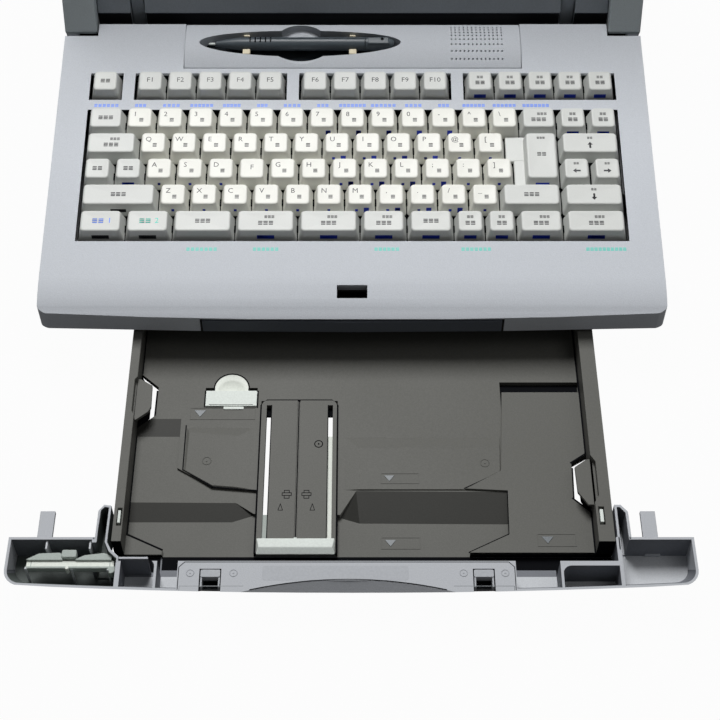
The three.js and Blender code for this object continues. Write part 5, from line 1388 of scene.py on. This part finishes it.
# spring snaps of the cassette front: a pale hook block with two prongs over a slot, whose tongue and outline
# are painted dark as shade
snapPlan = {"half": 5.4, "back": -273.7, "front": -284.4, "low": 19.5, "top": 23.4, "hookTop": 23.9,
            "rim": 23.65, "wall": 1.1, "hook": 4.6, "line": 0.25}
half, back, low, wall = [snapPlan[key] for key in ("half", "back", "low", "wall")]
for side, x in zip(("left", "right"), scoop["snaps"]):
    hook = roundPlate("hook", x - half, x + half, back - snapPlan["hook"], back, low, snapPlan["hookTop"],
                      0.8, 3)
    prongs = [plate("prong", *sides, snapPlan["front"], back - 2, low, snapPlan["top"])
              for sides in ((x - half, x - half + wall), (x + half - wall, x + half))]
    parts = [moulded(part, 0.0003, 2, "labelGrey") for part in [hook] + prongs]
    tongue = plate("snapTongue", x - 3.9, x + 3.9, back - 8.6, back - 4.4, 18.0, 18.6)
    parts += darken([tongue])
    left, right, near = x - half - snapPlan["line"], x + half + snapPlan["line"], snapPlan["front"] + 1
    outline = shadeAndInkLine([(left, near), (left, back + 0.2), (right, back + 0.2), (right, near)],
                         snapPlan["rim"], 0.55)
    snapPiece = joinPieces("cassetteSnap" + side.title(), parts + outline)
    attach(snapPiece, "cassette")
    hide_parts("cassette_snap_" + side)

# spare guide in the left pocket: two humps behind a pale bar, a middle tab and an end knob
spare = {"left": -177.6, "right": -128.4, "backward": 0.0026, "seams": (-174.6, -131.6),
         "humps": [[(-177.0, -268.4), (-170.5, -264.9), (-159.4, -264.4), (-157.4, -265.4), (-157.4, -269.0),
                    (-177.0, -269.0)],
                   [(-150.2, -268.4), (-145.7, -266.0), (-135.1, -264.6), (-130.6, -266.2), (-130.6, -269.0),
                    (-150.2, -269.0)]]}
guideParts = [moulded(slab("hump", rise, 17.0, 21.0), 0.0012, 4, "spareGrey", 50) for rise in spare["humps"]]
bar = plate("guideBar", spare["left"] + 0.6, spare["right"] - 0.8, -272.6, -268.6, 16.0, 19.6)
lip = plate("guideLip", spare["left"], spare["right"], -273.8, -272.4, 15.8, 20.4)
guideParts += [moulded(roundPlate("guideTab", -158.0, -149.8, -268.0, -263.2, 17.5, 22.2, 1.0, 4), 0.0006, 3,
                       "spareGrey"),
               moulded(bar, 0.0004, 2, "spareLight"), moulded(lip, 0.0005, 3, "spareGrey")]
for x in spare["seams"]:
    guideParts.append(dress(plate("barSeam", x, x + 0.4, -272.4, -268.8, 19.4, 19.66), "spareGrey"))
knob = barPiece("endKnob", 'z', 2.2, 15.6, 21.0, -130.4, -275.0, 20)
peg = barPiece("endPeg", 'z', 1.0, 16, 21.4, -154.4, -273.9, 12)
guideParts += [moulded(knob, 0.0006, 3, "spareGrey"), moulded(peg, 0.0003, 2, "spareLight")]
storedGuide = joinPieces("storedGuide", guideParts)
storedGuide.data.transform(Matrix.Translation((0, spare["backward"], 0)))
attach(storedGuide, "stored_guide")
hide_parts("stored_guide")
print("snaps and spare guide done")


# display frame in the lid, drawn flat in the lid's own axes and turned to where it stands
lidPlan = {"hinge": 0.1094, "height": 0.093, "lean": 112, "side": 0.1662, "front": -0.2062, "back": 0.0114,
           "face": -0.004, "thick": 0.0025, "windowSide": 0.123, "windowFront": -0.192, "windowBack": -0.038,
           "gate": 0.140, "gateHalf": 0.0046, "gateFront": -0.0042, "through": 0.02}
lidMatrix = Matrix.Translation((0, lidPlan["hinge"] + rowShift, lidPlan["height"])) @ Matrix.Rotation(
    math.radians(-lidPlan["lean"]), 4, 'X')
bezel = boxPiece("lidBezel", (-lidPlan["side"], lidPlan["front"], lidPlan["face"]),
                 (lidPlan["side"], lidPlan["back"], lidPlan["face"] + lidPlan["thick"]))
through, half = lidPlan["through"], lidPlan["gateHalf"]
windowTool = boxPiece("window", (-lidPlan["windowSide"], lidPlan["windowFront"], -through),
                      (lidPlan["windowSide"], lidPlan["windowBack"], through))
gateTools = [boxPiece("gate", (x - half, lidPlan["gateFront"], -through), (x + half, through, through))
             for x in (-lidPlan["gate"], lidPlan["gate"])]
bezelParts = [moulded(cutWith(bezel, [windowTool] + gateTools), 0.0008, 3, "bezelDark")]
# slim inner frame around the display, and four rubber rests near the corners
innerFrame = {"side": 0.1245, "front": -0.1935, "back": -0.0365, "wide": 0.0023, "under": 0.0003,
              "over": 0.001}
side, near, far, wide = [innerFrame[key] for key in ("side", "front", "back", "wide")]
for x0, x1, y0, y1 in ((-side, wide - side, near, far), (side - wide, side, near, far),
                       (-side, side, near, near + wide), (-side, side, far - wide, far)):
    edge = boxPiece("innerFrame", (x0, y0, lidPlan["face"] - innerFrame["under"]),
                    (x1, y1, lidPlan["face"] + innerFrame["over"]))
    bezelParts.append(moulded(edge, 0.0003, 2, "slateDark"))
restPlan = {"x": (-0.155, 0.155), "y": (-0.198, -0.012), "half": (0.005, 0.0025), "under": 0.001,
            "over": 0.0005}
wide, deep = restPlan["half"]
for x in restPlan["x"]:
    for y in restPlan["y"]:
        rest = boxPiece("rubberRest", (x - wide, y - deep, lidPlan["face"] - restPlan["under"]),
                        (x + wide, y + deep, lidPlan["face"] + restPlan["over"]))
        bezelParts.append(moulded(rest, 0.0007, 3, "rubberBlack"))
lidBezel = joinPieces("lidBezel", bezelParts)
lidBezel.data.transform(lidMatrix)
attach(lidBezel, "lid")
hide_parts("lid_bezel")
# the lid's hinge edge, painted near-black as the shade of the gap above the trough, and the shell that shows
# in the bezel's gates
shellPlan = {"edge": 0.0004, "side": 0.001, "gate": 0.002, "gateFront": -0.02, "gateLow": -0.03}
lidShell = bpy.data.objects["lidShell"]
hingeShadeSlot = slotFor(lidShell, "hingeShade")
gateSlot = slotFor(lidShell, "bezelDark")
lidInverse = lidMatrix.inverted()
for face in lidShell.data.polygons:
    spot = lidInverse @ face.center
    if spot.y > lidPlan["back"] + shellPlan["edge"] and abs(spot.x) < lidPlan["side"] + shellPlan["side"]:
        face.material_index = hingeShadeSlot
    nearGate = abs(abs(spot.x) - lidPlan["gate"]) < lidPlan["gateHalf"] + shellPlan["gate"]
    if nearGate and spot.y > shellPlan["gateFront"] and spot.z > shellPlan["gateLow"]:
        face.material_index = gateSlot
print("lid done")


# plain trim: a blank rating plate on the back, lines on the lid, deck corners beside the hinge
backPlan = {"plateX": (0.020, 0.072), "plateZ": (0.034, 0.054), "strokes": (0.030, 0.042, 0.036),
            "strokeX": 0.004, "strokeZ": 0.0035, "pitch": 0.005, "stroke": 0.0008,
            "cornerX": (0.1790, 0.1868), "cornerY": (0.0915, 0.0962), "cornerZ": (0.0700, 0.0768)}
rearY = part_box("rear_cover")[1][1]
(left, right), (low, high) = backPlan["plateX"], backPlan["plateZ"]
blank = boxPiece("ratingPlate", (left, rearY - 0.0006, low), (right, rearY + 0.00005, high))
trimParts = [dress(bevelEdges(blank, 0.0001, 1), "labelGrey")]
left += backPlan["strokeX"]
for index, length in enumerate(backPlan["strokes"]):
    z = low + backPlan["strokeZ"] + index * backPlan["pitch"]
    stroke = boxPiece("plateStroke", (left, rearY - 0.0001, z),
                      (left + length, rearY + 0.00009, z + backPlan["stroke"]))
    trimParts.append(dress(stroke, "inkDark"))
(inner, outer), (near, far), (low, high) = [backPlan[key] for key in ("cornerX", "cornerY", "cornerZ")]
for left, right in ((-outer, -inner), (inner, outer)):
    corner = boxPiece("deckCorner", (left, near + rowShift, low), (right, far + rowShift, high))
    trimParts.append(moulded(corner, 0.0006, 2, "deckGrey"))
rearTrim = joinPieces("rearTrim", trimParts)
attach(rearTrim, "base")

# the lines on the lid stand for shallow grooves, drawn in the panel's painted shade
linePlan = {"places": (-0.190, -0.030), "half": 0.172, "width": 0.0008, "low": 0.0155, "high": 0.01604}
half = linePlan["half"]
lidLines = []
for y in linePlan["places"]:
    line = boxPiece("lidLine", (-half, y, linePlan["low"]), (half, y + linePlan["width"], linePlan["high"]))
    lidLines.append(dress(bevelEdges(line, 0.0002, 1), "panelShade"))
lidTrim = joinPieces("lidTrim", lidLines)
lidTrim.data.transform(lidMatrix)
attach(lidTrim, "lid")
print("rear trim done")

# pale floor and soft studio light
studio = {"floor": 0.16, "floorRough": 0.9, "floorSize": 12, "floorUnder": 0.0004, "glow": 0.97, "sky": 0.13}
# each lamp: its place, what it points at, its width and its power
lamps = {"keyLamp": ((-0.12, 0.6, 1.42), (0, -0.05, 0.03), 0.7, 27.0),
         "fillLamp": ((0.75, -0.25, 1.2), (0, -0.1, 0.03), 0.7, 1.5)}
deselectAll()
bpy.ops.mesh.primitive_plane_add(size=studio["floorSize"], location=(0, 0, -studio["floorUnder"]))
floor = latest("studioFloor")
floorMaterial = bpy.data.materials.new("studioFloor")
floorMaterial.use_nodes = True
floorNodes = floorMaterial.node_tree.nodes
floorLinks = floorMaterial.node_tree.links
floorShader = floorNodes["Principled BSDF"]
floorShader.inputs["Base Color"].default_value = (*[studio["floor"]] * 3, 1)
floorShader.inputs["Roughness"].default_value = studio["floorRough"]
floorRay = floorNodes.new('ShaderNodeLightPath')
floorGlow = floorNodes.new('ShaderNodeEmission')
floorMix = floorNodes.new('ShaderNodeMixShader')
floorShare = floorNodes.new('ShaderNodeMath')
floorShare.operation = 'MULTIPLY'
floorShare.inputs[1].default_value = studio["glow"]
floorLinks.new(floorRay.outputs['Is Camera Ray'], floorShare.inputs[0])
floorLinks.new(floorShare.outputs[0], floorMix.inputs[0])
floorLinks.new(floorShader.outputs[0], floorMix.inputs[1])
floorLinks.new(floorGlow.outputs[0], floorMix.inputs[2])
floorLinks.new(floorMix.outputs[0], floorNodes["Material Output"].inputs['Surface'])
floor.data.materials.append(floorMaterial)

world = bpy.data.worlds.new("studioSky")
bpy.context.scene.world = world
world.use_nodes = True
sky = world.node_tree.nodes["Background"]
sky.inputs[0].default_value = (1, 1, 1, 1)
skyRay = world.node_tree.nodes.new('ShaderNodeLightPath')
skyPick = world.node_tree.nodes.new('ShaderNodeMapRange')
skyPick.inputs['To Min'].default_value = studio["sky"]
skyPick.inputs['To Max'].default_value = 1.0
world.node_tree.links.new(skyRay.outputs['Is Camera Ray'], skyPick.inputs['Value'])
world.node_tree.links.new(skyPick.outputs['Result'], sky.inputs[1])


def softLamp(name, place, aim, width, power):
    lampData = bpy.data.lights.new(name, 'AREA')
    lampData.shape = 'SQUARE'
    lampData.size = width
    lampData.energy = power
    lamp = bpy.data.objects.new(name, lampData)
    bpy.context.scene.collection.objects.link(lamp)
    lamp.location = place
    lamp.rotation_euler = (Vector(aim) - Vector(place)).to_track_quat('-Z', 'Y').to_euler()


for name, (place, aim, width, power) in lamps.items():
    softLamp(name, place, aim, width, power)
bpy.context.scene.view_settings.view_transform = 'Standard'
print("studio ready")
